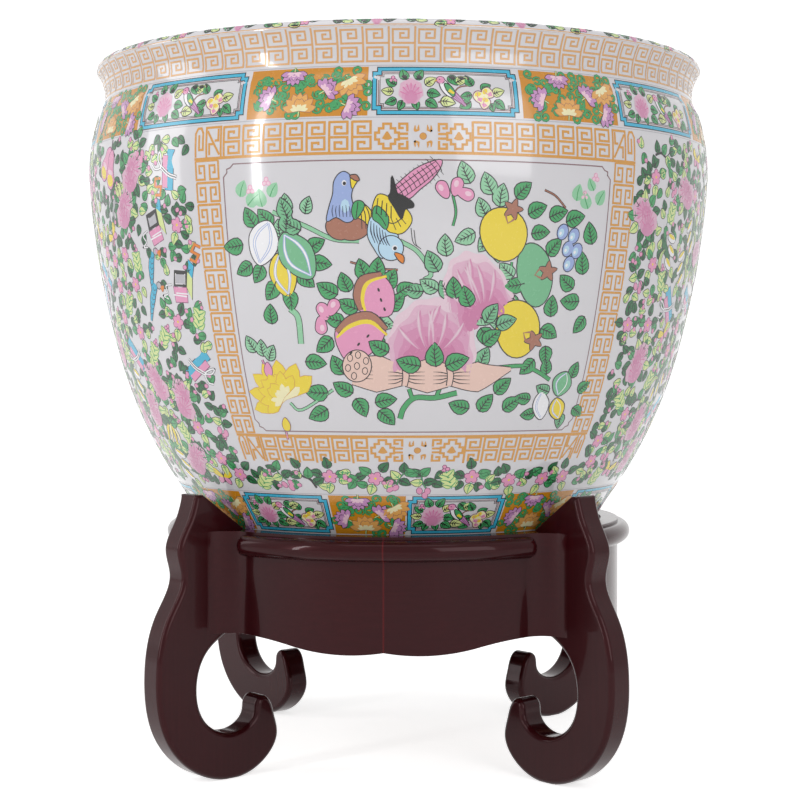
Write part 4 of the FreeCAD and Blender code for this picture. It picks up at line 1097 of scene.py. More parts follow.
def paint_panel_border(p, turn):
    """Gold key fret round the picture: rows of double spirals with diamonds and a rosette in the middle
    above and below, columns of facing spirals at the sides, and a thin mauve line inside."""
    line = settings().fret_line / MM
    left, right = PANEL_LEFT + turn, PANEL_RIGHT + turn
    centre = (left + right) / 2
    for low, high, up in ((way_of(PANEL_TOP_IN), way_of(PANEL_TOP), 1),
            (way_of(PANEL_LOW), way_of(PANEL_LOW_IN), -1)):
        tall = high - low
        radius = radius_at((low + high) / 2)
        base = low + 0.5 if up > 0 else high - 0.5
        p.ribbon("gold", 0, [(a, base) for a in np.linspace(left, right, 60)], line * 0.6)
        free = 34.0 / radius
        inner_left, inner_right = left + BORDER_ANGLE * 1.15, right - BORDER_ANGLE * 1.15
        for start, end in ((inner_left, centre - free), (centre + free, inner_right)):
            count = max(2, int(round((end - start) * radius / (16.2 * radius / 250 + 1.0))))
            pitch = (end - start) / count
            for k in range(count):
                a = start + k * pitch
                p.ribbon("gold", 1, [(a + 0.06 * pitch, low + 0.04 * tall),
                        (a + 0.06 * pitch, high - 0.04 * tall)], line / 2)
                for share in (0.08, 0.53):
                    square_spiral(p, a + 0.06 * pitch, low + share * tall, 0.94 * pitch, 0.42 * tall, line)
        middle = (low + high) / 2
        here = Spot(centre, middle)
        p.figure(here, oval(0, 0, 4.6, 4.6), "gold", 1, "brown", 0.2)
        for sx in (-1, 1):
            for sy in (-1, 1):
                p.stroke(here, [(sx * 2.5, sy * 4.5), (sx * 5.5, sy * 4), (sx * 5.5, sy * 7.5)],
                        (0.5, 1.0, 0.3), "gold", 1)
                p.stroke(here, [(sx * 3.4, sy * 5), (sx * 3.0, sy * 8)], (0.9, 0.2), "gold", 1)
                p.ribbon("gold", 1, here([(sx * 11, sy * 3.2), (sx * 11, sy * 8.6), (sx * 16.5, sy * 8.6),
                        (sx * 16.5, sy * 5.6), (sx * 13.4, sy * 5.6)]), line / 2)
            p.ribbon("gold", 1, here([(sx * 10.4, 1.6), (sx * 17, 1.6)]), line / 2)
            p.ribbon("gold", 1, here([(sx * 10.4, -1.6), (sx * 17, -1.6)]), line / 2)
            diamond = here.at(sx * 25, 0)
            steps = [(0, 8.6), (2.6, 8.6), (2.6, 5.4), (5.6, 5.4), (5.6, 2.4), (8.2, 2.4), (8.2, -2.4),
                     (5.6, -2.4), (5.6, -5.4), (2.6, -5.4), (2.6, -8.6)]
            whole = steps + [(-x, y) for x, y in steps[::-1] if x]
            p.ribbon("gold", 1, diamond(whole), line / 2, closed=True)
            p.fan("gold", 2, diamond([(-3.6, -1.6), (-1.2, -2.6), (1.2, -2.6), (3.6, -1.6), (0.6, 3.2),
                    (-0.6, 3.2)]))
    low, high = way_of(PANEL_LOW_IN), way_of(PANEL_TOP_IN)
    rows = 13
    pitch = (high - low) / rows
    for side, start in ((1, left), (-1, right)):
        for k in range(rows):
            cell = border_cell(start, side, low + k * pitch, pitch)
            p.ribbon("gold", 1, cell((0.04, 0.95), (0.96, 0.95)), line / 2)
            for near, far in ((0.04, 0.46), (0.96, 0.54)):
                reach = far - near
                hook = ((0, 0.95), (0, 0.1), (0.84, 0.1), (0.84, 0.72), (0.34, 0.72), (0.34, 0.4),
                        (0.58, 0.4))
                p.ribbon("gold", 1, cell(*[(near + reach * x, y) for x, y in hook]), line * 0.46)
    for side, start in ((1, left), (-1, right)):
        for bottom, top in ((way_of(PANEL_TOP_IN), way_of(PANEL_TOP)),
                (way_of(PANEL_LOW), way_of(PANEL_LOW_IN))):
            cell = border_cell(start, side, bottom, top - bottom)
            for path in CORNER_LINES:
                p.ribbon("gold", 1, cell(*path), line / 2)
    inset = BORDER_ANGLE * 1.15
    corners = []
    for a, w, sa, sw in ((left + inset, way_of(457.8), 1, -1), (right - inset, way_of(457.8), -1, -1),
                         (right - inset, way_of(267.5), -1, 1), (left + inset, way_of(267.5), 1, 1)):
        turn_in = [(a, w + sw * 9), (a + sa * 0.012, w + sw * 6), (a + sa * 0.012, w + sw * 3.5),
                   (a + sa * 0.024, w + sw * 2.5), (a + sa * 0.034, w)]
        corners.append(turn_in if sa * sw < 0 else turn_in[::-1])
    rim = np.vstack(corners)
    dense = np.vstack([rim[k] + (rim[(k + 1) % len(rim)] - rim[k]) * np.linspace(0, 1, 24, endpoint=False)[:,
            None] for k in range(len(rim))])
    p.ribbon("mauve", 0, dense, 0.45, closed=True)


# ---------------------------------------------------------------- the picture: birds, fruit and flowers

# each leaf points away from the heart of its bunch; hearts and leaves by column and row in the photograph
HEARTS = ((282, 252), (530, 282), (372, 318), (455, 300), (500, 225), (556, 400), (545, 330), (360, 402),
          (262, 372),
          (480, 420), (590, 300))
# leaves of the picture: column and row of the middle, length in mm, colour
PICTURE_LEAVES = (
    (250, 217, 15, "leaf"), (265, 217, 15, "leaf"), (233, 246, 16, "leaf"), (244, 269, 14, "leaf"),
                  (258, 274, 14, "leaf"),
    (271, 291, 15, "leaf"), (271, 314, 14, "leaf"), (290, 301, 15, "leaf"), (306, 281, 14, "leaf"),
                  (327, 289, 16, "leaf"),
    (321, 264, 15, "leaf"), (316, 245, 14, "leaf"), (286, 203, 13, "pale"), (307, 205, 12, "pale"),
                  (279, 228, 12, "pale"),
    (293, 234, 12, "pale"), (363, 269, 15, "leaf"), (378, 268, 15, "leaf"), (391, 279, 15, "leaf"),
                  (345, 282, 14, "leaf"),
    (397, 302, 15, "leaf"), (348, 305, 15, "leaf"), (334, 319, 14, "leaf"), (385, 324, 14, "pale"),
                  (324, 345, 15, "leaf"),
    (376, 345, 15, "leaf"), (316, 363, 15, "leaf"), (338, 365, 15, "leaf"), (466, 172, 16, "pale"),
                  (489, 183, 16, "pale"),
    (502, 195, 16, "pale"), (483, 207, 14, "pale"), (446, 245, 15, "pale"), (465, 237, 15, "pale"),
                  (484, 243, 14, "pale"),
    (497, 252, 15, "pale"), (507, 270, 14, "pale"), (429, 285, 14, "pale"), (481, 319, 16, "pale"),
                  (500, 323, 15, "pale"),
    (433, 261, 16, "mid"), (413, 290, 14, "mid"), (446, 289, 14, "mid"), (465, 304, 14, "mid"),
                  (514, 285, 15, "leaf"),
    (510, 305, 15, "leaf"), (408, 351, 15, "leaf"), (431, 348, 14, "mid"), (452, 355, 14, "mid"),
                  (486, 338, 16, "leaf"),
    (484, 357, 15, "mid"), (406, 289, 13, "leaf"), (524, 190, 15, "leaf"), (538, 210, 15, "leaf"),
                  (541, 233, 14, "leaf"),
    (559, 214, 15, "leaf"), (576, 219, 16, "leaf"), (591, 233, 16, "leaf"), (555, 247, 15, "leaf"),
                  (583, 263, 16, "leaf"),
    (567, 282, 15, "leaf"), (570, 301, 16, "leaf"), (552, 306, 15, "leaf"), (549, 333, 15, "leaf"),
                  (579, 325, 14, "leaf"),
    (545, 356, 14, "leaf"), (316, 392, 17, "leaf"), (343, 388, 15, "leaf"), (318, 414, 16, "leaf"),
                  (361, 408, 15, "leaf"),
    (386, 401, 15, "leaf"), (387, 418, 15, "leaf"), (459, 406, 15, "leaf"), (486, 403, 15, "leaf"),
                  (512, 404, 15, "leaf"),
    (503, 386, 15, "leaf"), (527, 367, 14, "leaf"), (251, 344, 13, "pale"), (262, 348, 12, "pale"),
                  (271, 353, 12, "pale"),
    (575, 370, 12, "leaf"), (584, 387, 12, "leaf"), (577, 412, 12, "leaf"), (559, 421, 12, "mid"),
                  (528, 414, 12, "leaf"),
    (523, 398, 12, "leaf"), (543, 389, 12, "mid"), (547, 366, 12, "leaf"),
)
PICTURE_FAINT_LEAVES = (
    (240, 196, 70, 11), (248, 205, 40, 12), (262, 206, 100, 12), (270, 196, 60, 10), (577, 200, 80, 11),
                        (588, 208, 110, 12),
    (598, 204, 60, 11), (594, 190, 120, 9),
)
PICTURE_STEMS = (
    ([(272, 212), (305, 226), (333, 239), (359, 241)], 1.3, "pale"),
                 ([(290, 309), (298, 318), (301, 344)], 1.9, "pale"),
    ([(400, 241), (418, 252), (431, 273), (424, 280)], 1.3, "pale"),
                 ([(453, 195), (456, 212), (453, 226)], 0.6, "leaf"),
    ([(400, 419), (404, 408), (415, 398), (435, 398), (457, 393)], 1.7, "leaf"),
                 ([(412, 398), (409, 389)], 1.2, "leaf"),
    ([(436, 398), (440, 388)], 1.2, "leaf"), ([(486, 369), (522, 366), (538, 372), (550, 380)], 1.2, "leaf"),
    ([(290, 403), (302, 410), (333, 390)], 0.8, "pale"), ([(268, 378), (266, 369), (262, 360)], 0.5, "pink"),
    ([(286, 432), (288, 440)], 0.5, "pink"), ([(545, 190), (556, 196), (566, 208)], 0.4, "brown"),
    ([(350, 262), (372, 268), (398, 270)], 0.4, "brown"), ([(496, 330), (508, 300), (512, 262)], 0.6, "leaf"),
)


def paint_birds(p):
    """Two long-tailed birds in the upper left of the picture; outlines in pixels of the photograph."""
    size = 0.5
    draw = lambda outline, colour, coat=5, edge="ink": p.figure(from_view, outline, colour, coat, edge, size)
    line = lambda path, half, colour, coat=5, edge=None: p.stroke(from_view, path, half, colour, coat, edge,
            size)
    # the left bird: lavender head and neck, two brown lobes of the breast, green and yellow mantle
    draw([(356, 204), (362, 203), (370, 210), (373, 218), (371, 230), (364, 232), (357, 220)], "yellow", 3)
    for x in (359, 363, 367):
        line([(x - 2, 205), (x + 2, 214), (x + 3, 229)], (0.25, 0.35, 0.25), "ink", 5)
    draw([(340, 219), (352, 217), (364, 222), (368, 231), (361, 238), (350, 240), (342, 236)], "brown", 4)
    draw([(327, 222), (336, 216), (344, 222), (348, 230), (344, 239), (334, 238), (327, 231)], "brown", 5)
    draw([(327, 221), (329, 208), (333, 194), (334, 182), (339, 174), (345, 172), (351, 177), (353, 184),
          (351, 196), (353, 207), (353, 219),
          (346, 222), (336, 217)], "blue", 6)
    p.fan("sky", 8, from_view(oval(345, 206, 9, 14)))
    draw([(354, 203), (360, 201), (364, 205), (360, 214), (355, 219), (352, 212)], "leaf", 7)
    line([(358, 202), (357, 210), (356, 218)], 0.3, "ink", 9)
    for k in range(6):
        line([(333 + 3.2 * k, 205 + (k % 2)), (332 + 3.6 * k, 211), (333 + 3.4 * k, 217)], (0.15, 0.3, 0.2),
             "navy", 9)
    draw([(351, 176), (358, 178), (355, 184), (352, 188)], "yellow", 7)
    draw([(350, 176), (356, 175), (359, 180), (355, 180)], "brown", 8)
    p.fan("white", 8, from_view(oval(344, 183, 5, 6)))
    p.fan("ink", 9, from_view(oval(344.3, 183.4, 3.4, 4)))
    # the right bird: pink cross-barred tail, black tail coverts, yellow barred wing, light blue head
    draw([(391, 191), (401, 181), (414, 170), (428, 163), (441, 160), (440, 168), (431, 180), (420, 189),
          (410, 198), (402, 198)], "pink", 2)
    for k in range(10):
        x, y = 398 + 4.2 * k, 190 - 2.9 * k
        line([(x - 2, y - 5), (x + 3, y + 1), (x + 6, y + 7)], (0.25, 0.25, 0.25), "ink", 4)
        line([(x + 5, y + 7), (x + 8, y + 11)], (0.3, 0.1), "black", 1)
        line([(x - 3, y - 5), (x - 6, y - 8)], (0.3, 0.1), "black", 1)
    for shift in (-3.5, 0.5, 4.5):
        line([(399 + shift, 193 + shift), (418 + shift, 179 + shift), (437 + 0.4 * shift, 165 + shift)],
             (0.25, 0.25, 0.2), "ink", 5)
    draw([(391, 212), (402, 207), (410, 214), (411, 223), (402, 233), (389, 232), (386, 222)], "yellow", 3)
    for k in range(3):
        line([(391 + 5 * k, 218), (396 + 5 * k, 230 - 3 * k)], (0.25, 0.25), "ink", 6)
    draw([(378, 195), (388, 197), (396, 207), (401, 217), (392, 223), (380, 217), (372, 219), (373, 206)],
         "yellow", 5)
    for k in range(4):
        line([(378 + 4.4 * k, 198 + 2.6 * k), (376 + 5 * k, 214 + 1.4 * k)], (0.3, 0.4), "ink", 8)
    draw([(391, 192), (392, 176), (396, 192), (403, 196), (412, 202), (413, 207), (405, 209), (401, 219),
          (394, 208), (388, 198)], "black", 6)
    draw([(374, 208), (379, 207), (388, 217), (386, 229), (379, 223), (373, 218)], "leaf", 7)
    line([(376, 212), (382, 219), (386, 226)], 0.3, "ink", 9)
    draw([(369, 222), (374, 216), (381, 222), (388, 232), (398, 236), (392, 250), (382, 258), (374, 248),
          (368, 236)], "sky", 6)
    for k in range(6):
        line([(371 + 2.8 * k, 221 + 2.2 * k), (371 + 3.2 * k, 232 + 1.8 * k), (375 + 3.0 * k, 243 + 0.6 * k)],
             (0.2, 0.45, 0.2), "navy", 8)
    draw(oval(391, 248, 24, 24, 0, 12), "sky", 7)
    draw([(395, 253), (403, 256), (403, 263), (398, 259)], "orange", 9)
    p.fan("white", 9, from_view(oval(394.7, 248, 6, 6)))
    p.fan("ink", 10, from_view(oval(395, 248.3, 4, 4)))
    for x, y in ((411, 228), (414, 230)):
        line([(x, y), (x + 2, y + 14), (x + 7, y + 19)], 0.25, "ink", 4)


def paint_picture(turn):
    """The whole picture, turned about the axis: stems, leaves, then fruit, flowers, lotus root and birds."""
    p = Painting()
    spot = spot_in_view
    for path, half, shade in PICTURE_STEMS:
        p.stroke(from_view, path, half, shade, 0, "ink", 0.35)
    for column, row, long, shade in PICTURE_LEAVES:
        heart = min(HEARTS, key=lambda place: math.hypot(place[0] - column, place[1] - row))
        way = math.degrees(math.atan2(heart[1] - row, column - heart[0])) + 18 * math.sin(column + 2 * row)
        leaf(p, spot(column, row, way).at(-0.5 * long, 0), long, shade, 1)
    for column, row, way, long in PICTURE_FAINT_LEAVES:
        leaf(p, spot(column, row, way), long, "pale", 1, 0, edge="pale")
    for column, row in ((250, 190), (266, 182), (585, 196), (596, 178)):
        blossom(p, spot(column, row), 6, 3, "blush", "pink", "pink")
    for column, row, tilt in ((443, 189, 120), (466, 194, -20), (457, 186, 75), (323, 311, 110),
            (333, 307, 60), (321, 326, -90)):
        p.figure(spot(column, row, tilt), [(6, 0), (3, 4), (-4, 3), (-7, 0), (-4, -3), (3, -4)], "pink", 2,
                 "ink", 0.45)
        p.fan("blush", 4, spot(column, row, tilt)(oval(1.5, 0.8, 5, 3.4, 0, 10)))
    star_fruit(p, spot(263, 243, -20), 23, 31, "white", 3)
    star_fruit(p, spot(283, 275, 8), 20, 30, "yellow", 2)
    for column, row, way, shade in ((288, 218, 110, "mid"), (300, 230, 150, "mid"), (286, 232, 80, "mid")):
        leaf(p, spot(column, row, way), 15, shade, 7)
    star_fruit(p, spot(297, 256, 30), 25, 36, "mid", 4)
    persimmon(p, spot(535, 275), 27, 46, "mid", (0.38, 0.06), 2)
    persimmon(p, spot(504, 234, 12), 34, 38, "yellow", (0.28, 0.42), 4)
    persimmon(p, spot(518, 329), 33, 42, "yellow", (0.42, -0.2), 5)
    for column, row in ((563, 232), (574, 236), (568, 249), (577, 251), (569, 264)):
        p.figure(spot(column, row, 70), oval(0, 0, 11, 8.6, 0, 14), "blue", 3, "navy", smooth=False)
        p.fan("sky", 5, spot(column, row, 70)(oval(-1.0, 1.0, 6.4, 4.6, 0, 12)))
        p.fan("white", 6, spot(column, row, 70)(oval(-1.6, 1.4, 2.6, 2.0)))
    peony(p, spot(474, 286, 22), 50, 52, 2)
    peony(p, spot(432, 330), 64, 48, 3)
    melon_slice(p, spot(374, 295, 0), 27, 30, 3)
    melon_slice(p, spot(360, 335, -60), 29, 37, 4)
    for column, row, way in ((420, 366, 165), (436, 366, 95), (446, 366, 20)):
        leaf(p, spot(column, row, way), 17, "leaf", 9)
    for column, row, way, shade in ((388, 352, 150, "leaf"), (486, 322, 60, "mid"), (497, 326, 20, "mid"),
            (470, 306, 110, "leaf"),
                                    (456, 298, 100, "leaf"), (484, 344, 40, "leaf")):
        leaf(p, spot(column, row, way), 15, shade, 9)
    # the lotus root: three joints tied at the waist, and the seed pod
    for path, halves in (([(353, 371), (378, 374), (404, 376)], (10, 13.5, 7)),
            ([(405, 376), (428, 376), (449, 376)], (7.5, 12.5, 8)),
                         ([(450, 376), (478, 377), (511, 369)], (7, 11, 1))):
        p.stroke(from_view, path, halves, "root", 3, "ink")
        start, end = np.array(path[0]), np.array(path[2])
        for drop in (-4, 0, 4, 8):
            p.stroke(from_view, [start + (1, 0.5 * drop), start + (9, 0.9 * drop), start + (20, drop)],
                     (0.35, 0.35, 0.1), "ink", 5)
            if end[0] < 500:
                p.stroke(from_view, [end - (1, -0.5 * drop), end - (8, -0.9 * drop), end - (16, -drop)],
                        (0.35, 0.35, 0.1), "ink", 5)
    for column in (404.5, 449):
        p.stroke(from_view, [(column, 366), (column + 1.5, 376), (column, 386)], (1.6, 1.9, 1.6), "root", 6,
                 "ink")
    p.figure(from_view, oval(357, 366, 28, 31, 0, 12), "root", 6)
    for x, y in ((350, 358), (358, 355), (366, 361), (348, 368), (357, 366), (365, 371), (354, 376)):
        p.figure(from_view, oval(x, y, 4.4, 6, 0, 8), "root", 8, "ink", 0.4)
    # the yellow flower and its bud
    lotus(p, spot(286, 400, 28), 50, "yellow", "cream", "gold", 3)
    lotus(p, spot(284, 398, 50), 34, "yellow", "cream", "gold", 6)
    for column, row in ((268, 369), (286, 424)):
        p.figure(spot(column, row), [(0, 5), (3, 0), (2, -5), (-2, -5), (-3, 0)],
                 "pink" if row < 400 else "yellow", 5, "plum", 0.35)
    star_fruit(p, spot(541, 406, 10), 13, 21, "white", 2)
    star_fruit(p, spot(562, 384, -15), 17, 18, "mid", 3)
    star_fruit(p, spot(557, 409, 20), 13, 17, "yellow", 4)
    paint_birds(p)
    for points in p.points:
        points[:, 0] += turn
    paint_panel_border(p, turn)
    p.make("picture_front" if not turn else "picture_back")


# ---------------------------------------------------------------- the strewn pattern of the sides

def leaf_ring(p, spot, count, out, long, shades=("deep", "leaf", "lime"), coat=1, start=0):
    """Leaves pointing out all round a flower."""
    for k in range(count):
        turn = start + 360 * k / count
        a = math.radians(turn)
        leaf(p, spot.at(out * math.cos(a), out * math.sin(a), turn), long, shades[k % len(shades)], coat, 1)


def big_puff(p, spot):
    leaf_ring(p, spot, 9, 8, 9, ("deep", "leaf", "lime"))
    puff(p, spot.at(-2, 4, 60), 19, 17, 3)
    puff(p, spot.at(3, -4, -20), 16, 20, 5)


def small_blossoms(p, spot):
    leaves(p, spot, ((5, 1, 10, "deep"), (-4, 2, 170, "leaf"), (1, 6, 80, "deep"), (0, -5, -80, "lime")), 8)
    blossom(p, spot, 9, 5, "pink", "yellow", coat=2)


def buds(p, spot):
    p.stroke(spot, [(0, 7), (0, 0), (2, -5)], 0.35, "leaf", 0, "ink", 0.25)
    leaves(p, spot, ((0, 5, 130, "deep"), (0, 5, 40, "leaf"), (0, 0, 170, "lime"), (1, -1, 10, "deep")), 7.5)
    for x, y in ((-2.5, -6), (2.5, -7), (0.5, -10)):
        p.figure(spot, oval(x, y, 3.6, 5.0, 0, 7), "pink", 2, "plum", 0.35, smooth=False)


def tied_books(p, spot):
    p.figure(spot, [(-9, 9), (-3, 12), (3, 0), (-3, -3)], "turquoise", 1, "navy", smooth=False)
    p.figure(spot, [(-3, -3), (3, 0), (8, -10), (2, -13)], "turquoise", 1, "navy", smooth=False)
    p.figure(spot, [(-10, 4), (-6, 6), (-2, -2), (-6, -4)], "pink", 2, "plum", smooth=False)
    p.figure(spot, [(-5, -5), (-1, -3), (3, -11), (-1, -13)], "pink", 2, "plum", smooth=False)
    for y in (-2.6, -4.2):
        p.stroke(spot, [(-8, y + 0.5), (0, y), (7, y + 2)], 0.55, "white", 3, "ink", 0.25)
    p.stroke(spot, [(-8, -3), (-13, 0), (-14, 4), (-11, 2), (-8, -3), (-12, -7), (-16, -6)], 0.6, "white", 3,
             "ink", 0.25)


def framed_box(p, spot):
    p.figure(spot, [(-8, 8), (3, 12), (5, 2), (-6, -2)], "black", 2, None, smooth=False)
    p.figure(spot, [(-6, 6), (1.6, 9), (3, 3.4), (-4.6, 0.4)], "grey", 3, "white", 0.5, smooth=False)
    p.figure(spot, [(-6, -2.6), (5, 1.6), (8, -7), (-2, -11)], "pink", 1, "plum", smooth=False)
    for y in (0.0, -2.0):
        p.ribbon("white", 3, spot([(-3 + 1.0 * y, -5.4 + y), (7 + 0.3 * y, -1.8 + y)]), 0.5)
    p.figure(spot, [(3, 12), (8, 9), (11, -4), (5, 2)], "lime", 1, "ink", smooth=False)
    p.figure(spot, [(3, 12), (8, 9), (7, 17), (2, 19)], "turquoise", 1, "navy", smooth=False)
    p.stroke(spot, [(3, 20), (8, 20), (9, 25), (3, 25), (4, 30), (9, 30)], 0.9, "orange", 2, "brown", 0.3,
             smooth=False)
    p.stroke(spot, [(-8, -2), (-13, -5), (-10, -9), (-14, -12), (-9, -12)], 0.5, "white", 2, "ink", 0.25)


def scroll_roll(p, spot):
    p.figure(spot, [(-8, 10), (8, 4), (4, -14), (-10, -8)], "tan", 1, "brown", smooth=False)
    p.figure(spot, [(-9, 11), (-6, 10), (-9, -9), (-12, -8)], "turquoise", 2, "navy", smooth=False)
    p.figure(spot, [(7, 5), (10, 4), (6, -15), (3, -14)], "turquoise", 2, "navy", smooth=False)
    p.figure(spot, [(-7, 17), (3, 21), (8, 10), (-3, 7)], "yellow", 3, "ink", smooth=False)
    p.figure(spot, [(-3, 14), (2, 15.6), (4, 12), (-1, 10.6)], "brown", 4, "ink", 0.3, smooth=False)
    for y in (4, 0, -4, -8):
        p.ribbon("brown", 3, spot([(-6 - 0.1 * y, y), (5 + 0.2 * y, y - 3)]), 0.2)


def gourd_pair(p, spot):
    p.stroke(spot, [(-2, 17), (1, 12), (8, 10)], 1.0, "black", 0, None)
    p.stroke(spot, [(-16, -12), (-11, -8), (-10, -3)], 1.0, "black", 0, None)
    for x, turn in ((-4, -12), (5, 14)):
        here = spot.at(x, 0, turn)
        p.figure(here, [(0, 12), (4, 8), (4, 2), (6, -6), (3, -12), (-3, -12), (-6, -6), (-4, 2), (-4, 8)],
                 "pink", 1 if x < 0 else 3, "plum")
        p.fan("yellow", 3 if x < 0 else 5, here(oval(0, -7.4, 9.6, 8, 0, 12)))
        p.fan("blush", 3 if x < 0 else 5, here(oval(0, -2.2, 8.0, 3.4, 0, 10)))
    p.stroke(spot, [(8, -8), (12, -18), (9, -26), (13, -32)], (0.6, 1.4, 1.4, 0.4), "grey", 1, "ink", 0.3)
    p.stroke(spot, [(8, -8), (17, -16), (17, -25), (22, -30)], (0.6, 1.4, 1.4, 0.4), "grey", 1, "ink", 0.3)
    leaf(p, spot.at(12, -6, -50), 13, "deep", 2, 2)
    leaf(p, spot.at(16, -5, -35), 12, "lime", 2, 2)


def bitter_melon(p, spot):
    p.stroke(spot, [(2, 15), (5, 6), (1, -2), (0, -10)], (1.2, 3.2, 3.0, 1.0), "deep", 1, "ink")
    for k, (x, y, turn) in enumerate(((-5, 7, 35), (-4, -1, 50), (1, -8, 55))):
        p.figure(spot.at(x, y, turn), oval(0, 0, 11, 5.4, 0, 10), "white", 2 + k % 2, "ink", 0.4,
                 smooth=False)
        p.fan("yellow", 5, spot.at(x, y, turn)(oval(0.4, 1.0, 9.4, 2.6, 0, 8)))
    curl_leaf(p, spot.at(4, 3, -60), 14, "lime", 2)
    leaf(p, spot.at(-6, -3, 200), 8, "deep", 1, 1)
    leaf(p, spot.at(3, -12, -80), 9, "deep", 1, 1)
    leaf(p, spot.at(-3, -12, 250), 8, "lime", 1, 1)
    p.stroke(spot, [(2, 15), (0, 19), (-3, 18)], 0.3, "deep", 1)


def bananas(p, spot):
    for k in range(4):
        x = -6 + 4 * k
        p.stroke(spot, [(x * 0.3, 7), (x, 0), (x * 1.3 + 1, -9)], (1.0, 1.7, 0.6),
                 "yellow" if k % 2 else "cream", 1, "ink")
    for turn, shade in ((20, "deep"), (75, "lime"), (130, "deep"), (165, "leaf")):
        leaf(p, spot.at(0, 7, turn), 9, shade, 2, 1)
    for x in (-5, 1, 7):
        leaf(p, spot.at(x, -8, -85), 8, "leaf", 1, 1)


def turquoise_gourd(p, spot):
    p.stroke(spot, [(0, 13), (-0.5, 2), (1, -13)], (2.4, 3.0, 0.6), "turquoise", 1, "navy")
    for k in range(6):
        p.ribbon("navy", 3, spot([(-1.6, 10 - 3.4 * k), (0, 8.4 - 3.4 * k), (1.6, 10 - 3.4 * k)]), 0.22)
    p.figure(spot, oval(3.4, 14, 4, 4), "grey", 2)
    p.figure(spot, [(5, 14), (8, 16), (8, 12)], "orange", 2, "brown", 0.3)


def spray(p, spot):
    p.stroke(spot, [(0, -7), (0.5, 0), (-0.5, 7)], 0.3, "leaf", 0)
    for k in range(3):
        for turn in (35, 145):
            leaf(p, spot.at(0, -5 + 4 * k, turn), 6, "lime", 1, 0, "leaf")
    blossom(p, spot.at(-0.5, 9), 5, 3, "pink", None, coat=1)


def peach_bunch(p, spot):
    for x, y, turn in ((-5, 8, 10), (4, 4, -15), (-4, -3, 12), (4, -9, 0)):
        peach(p, spot.at(x, y, turn), 12, 1)
    p.stroke(spot, [(9, 10), (9, 0), (7, -8)], (1.4, 2.6, 1.0), "deep", 2, "ink")
    leaves(p, spot, ((8, 9, 60, "lime"), (-8, 12, 130, "deep"), (9, -4, -20, "leaf"), (-8, -8, 210, "deep")),
           8.5)


def twig(p, spot):
    p.stroke(spot, [(-8, -3), (-2, 0), (4, -1), (9, 4)], (0.9, 1.1, 0.7, 0.3), "black", 0)
    leaves(p, spot, ((-5, -1, 110, "deep"), (0, 0, 60, "leaf"), (5, 0, -60, "lime"), (8, 3, 20, "deep")), 8)


def butterfly(p, spot):
    for hand in (1, -1):
        p.figure(spot, [(0, 0.5), (hand * 6, 6), (hand * 8, 2), (hand * 3, -0.5)], "yellow", 1, "ink", 0.4)
        p.figure(spot, [(0, -0.5), (hand * 5, -1), (hand * 5, -5), (hand * 1.5, -4)], "pink", 1, "ink", 0.4)
        p.ribbon("ink", 3, spot([(0.2 * hand, 3), (2.2 * hand, 7)]), (0.2, 0.1))
    p.stroke(spot, [(0, 3), (0, -4)], 0.5, "black", 3)


STREWN = (big_puff, small_blossoms, tied_books, buds, framed_box, spray, bitter_melon, big_puff, twig,
          gourd_pair,
          small_blossoms, bananas, turquoise_gourd, buds, scroll_roll, peach_bunch, butterfly, spray)
REACH = {big_puff: 17, tied_books: 18, framed_box: 22, scroll_roll: 20, gourd_pair: 20, bitter_melon: 17,
         bananas: 14,
         turquoise_gourd: 14, peach_bunch: 16, small_blossoms: 11, buds: 11, spray: 9, twig: 11, butterfly: 9}
THROWS, LEAF_THROWS = 35, 2600  # tries for each motif, and for all the leaves between them


def paint_strewn(name, left, right, low, high, seed):
    """Motifs thrown over a field, in the order of their row: of the seeded throws, those clear of all the
    motifs before are kept; then leaves fill what is left."""
    p = Painting()
    rng = np.random.default_rng(seed)
    low_way, high_way = way_of(low), way_of(high)
    kept = []
    for motif in STREWN * 2:
        for _ in range(THROWS):
            way = low_way + (high_way - low_way) * rng.random()
            angle = left + (right - left) * rng.random()
            reach = REACH[motif] * 0.9
            radius = radius_at(way)
            inside = (way - low_way > 0.8 * reach and high_way - way > 0.8 * reach
                      and (angle - left) * radius > 0.8 * reach and (right - angle) * radius > 0.8 * reach)
            near = [math.hypot((angle - a) * radius, way - w) < 0.86 * (reach + r) for a, w, r in kept]
            if inside and not any(near):
                kept.append((angle, way, reach))
                motif(p, Spot(angle, way, math.radians(rng.uniform(-40, 40)), 1.2, rng.choice([1, -1])))
    for _ in range(LEAF_THROWS):
        way = low_way + (high_way - low_way) * rng.random()
        angle = left + (right - left) * rng.random()
        radius = radius_at(way)
        inside = (way - low_way > 4 and high_way - way > 4
                  and (angle - left) * radius > 4 and (right - angle) * radius > 4)
        if inside and not any(math.hypot((angle - a) * radius, way - w) < 0.74 * r + 2.6 for a, w, r in kept):
            kept.append((angle, way, 3.8))
            spot = Spot(angle, way, FULL_TURN * rng.random(), 1)
            shade = ("deep", "leaf", "lime", "deep")[rng.integers(4)]
            leaf(p, spot.at(-3.5, 0), 8.5, shade, 1, 1)
            if rng.random() < 0.4:
                p.figure(spot, oval(1, 3.2, 3.2, 3.8, 0, 7), "pink", 2, "plum", 0.35, smooth=False)
    p.make(name)


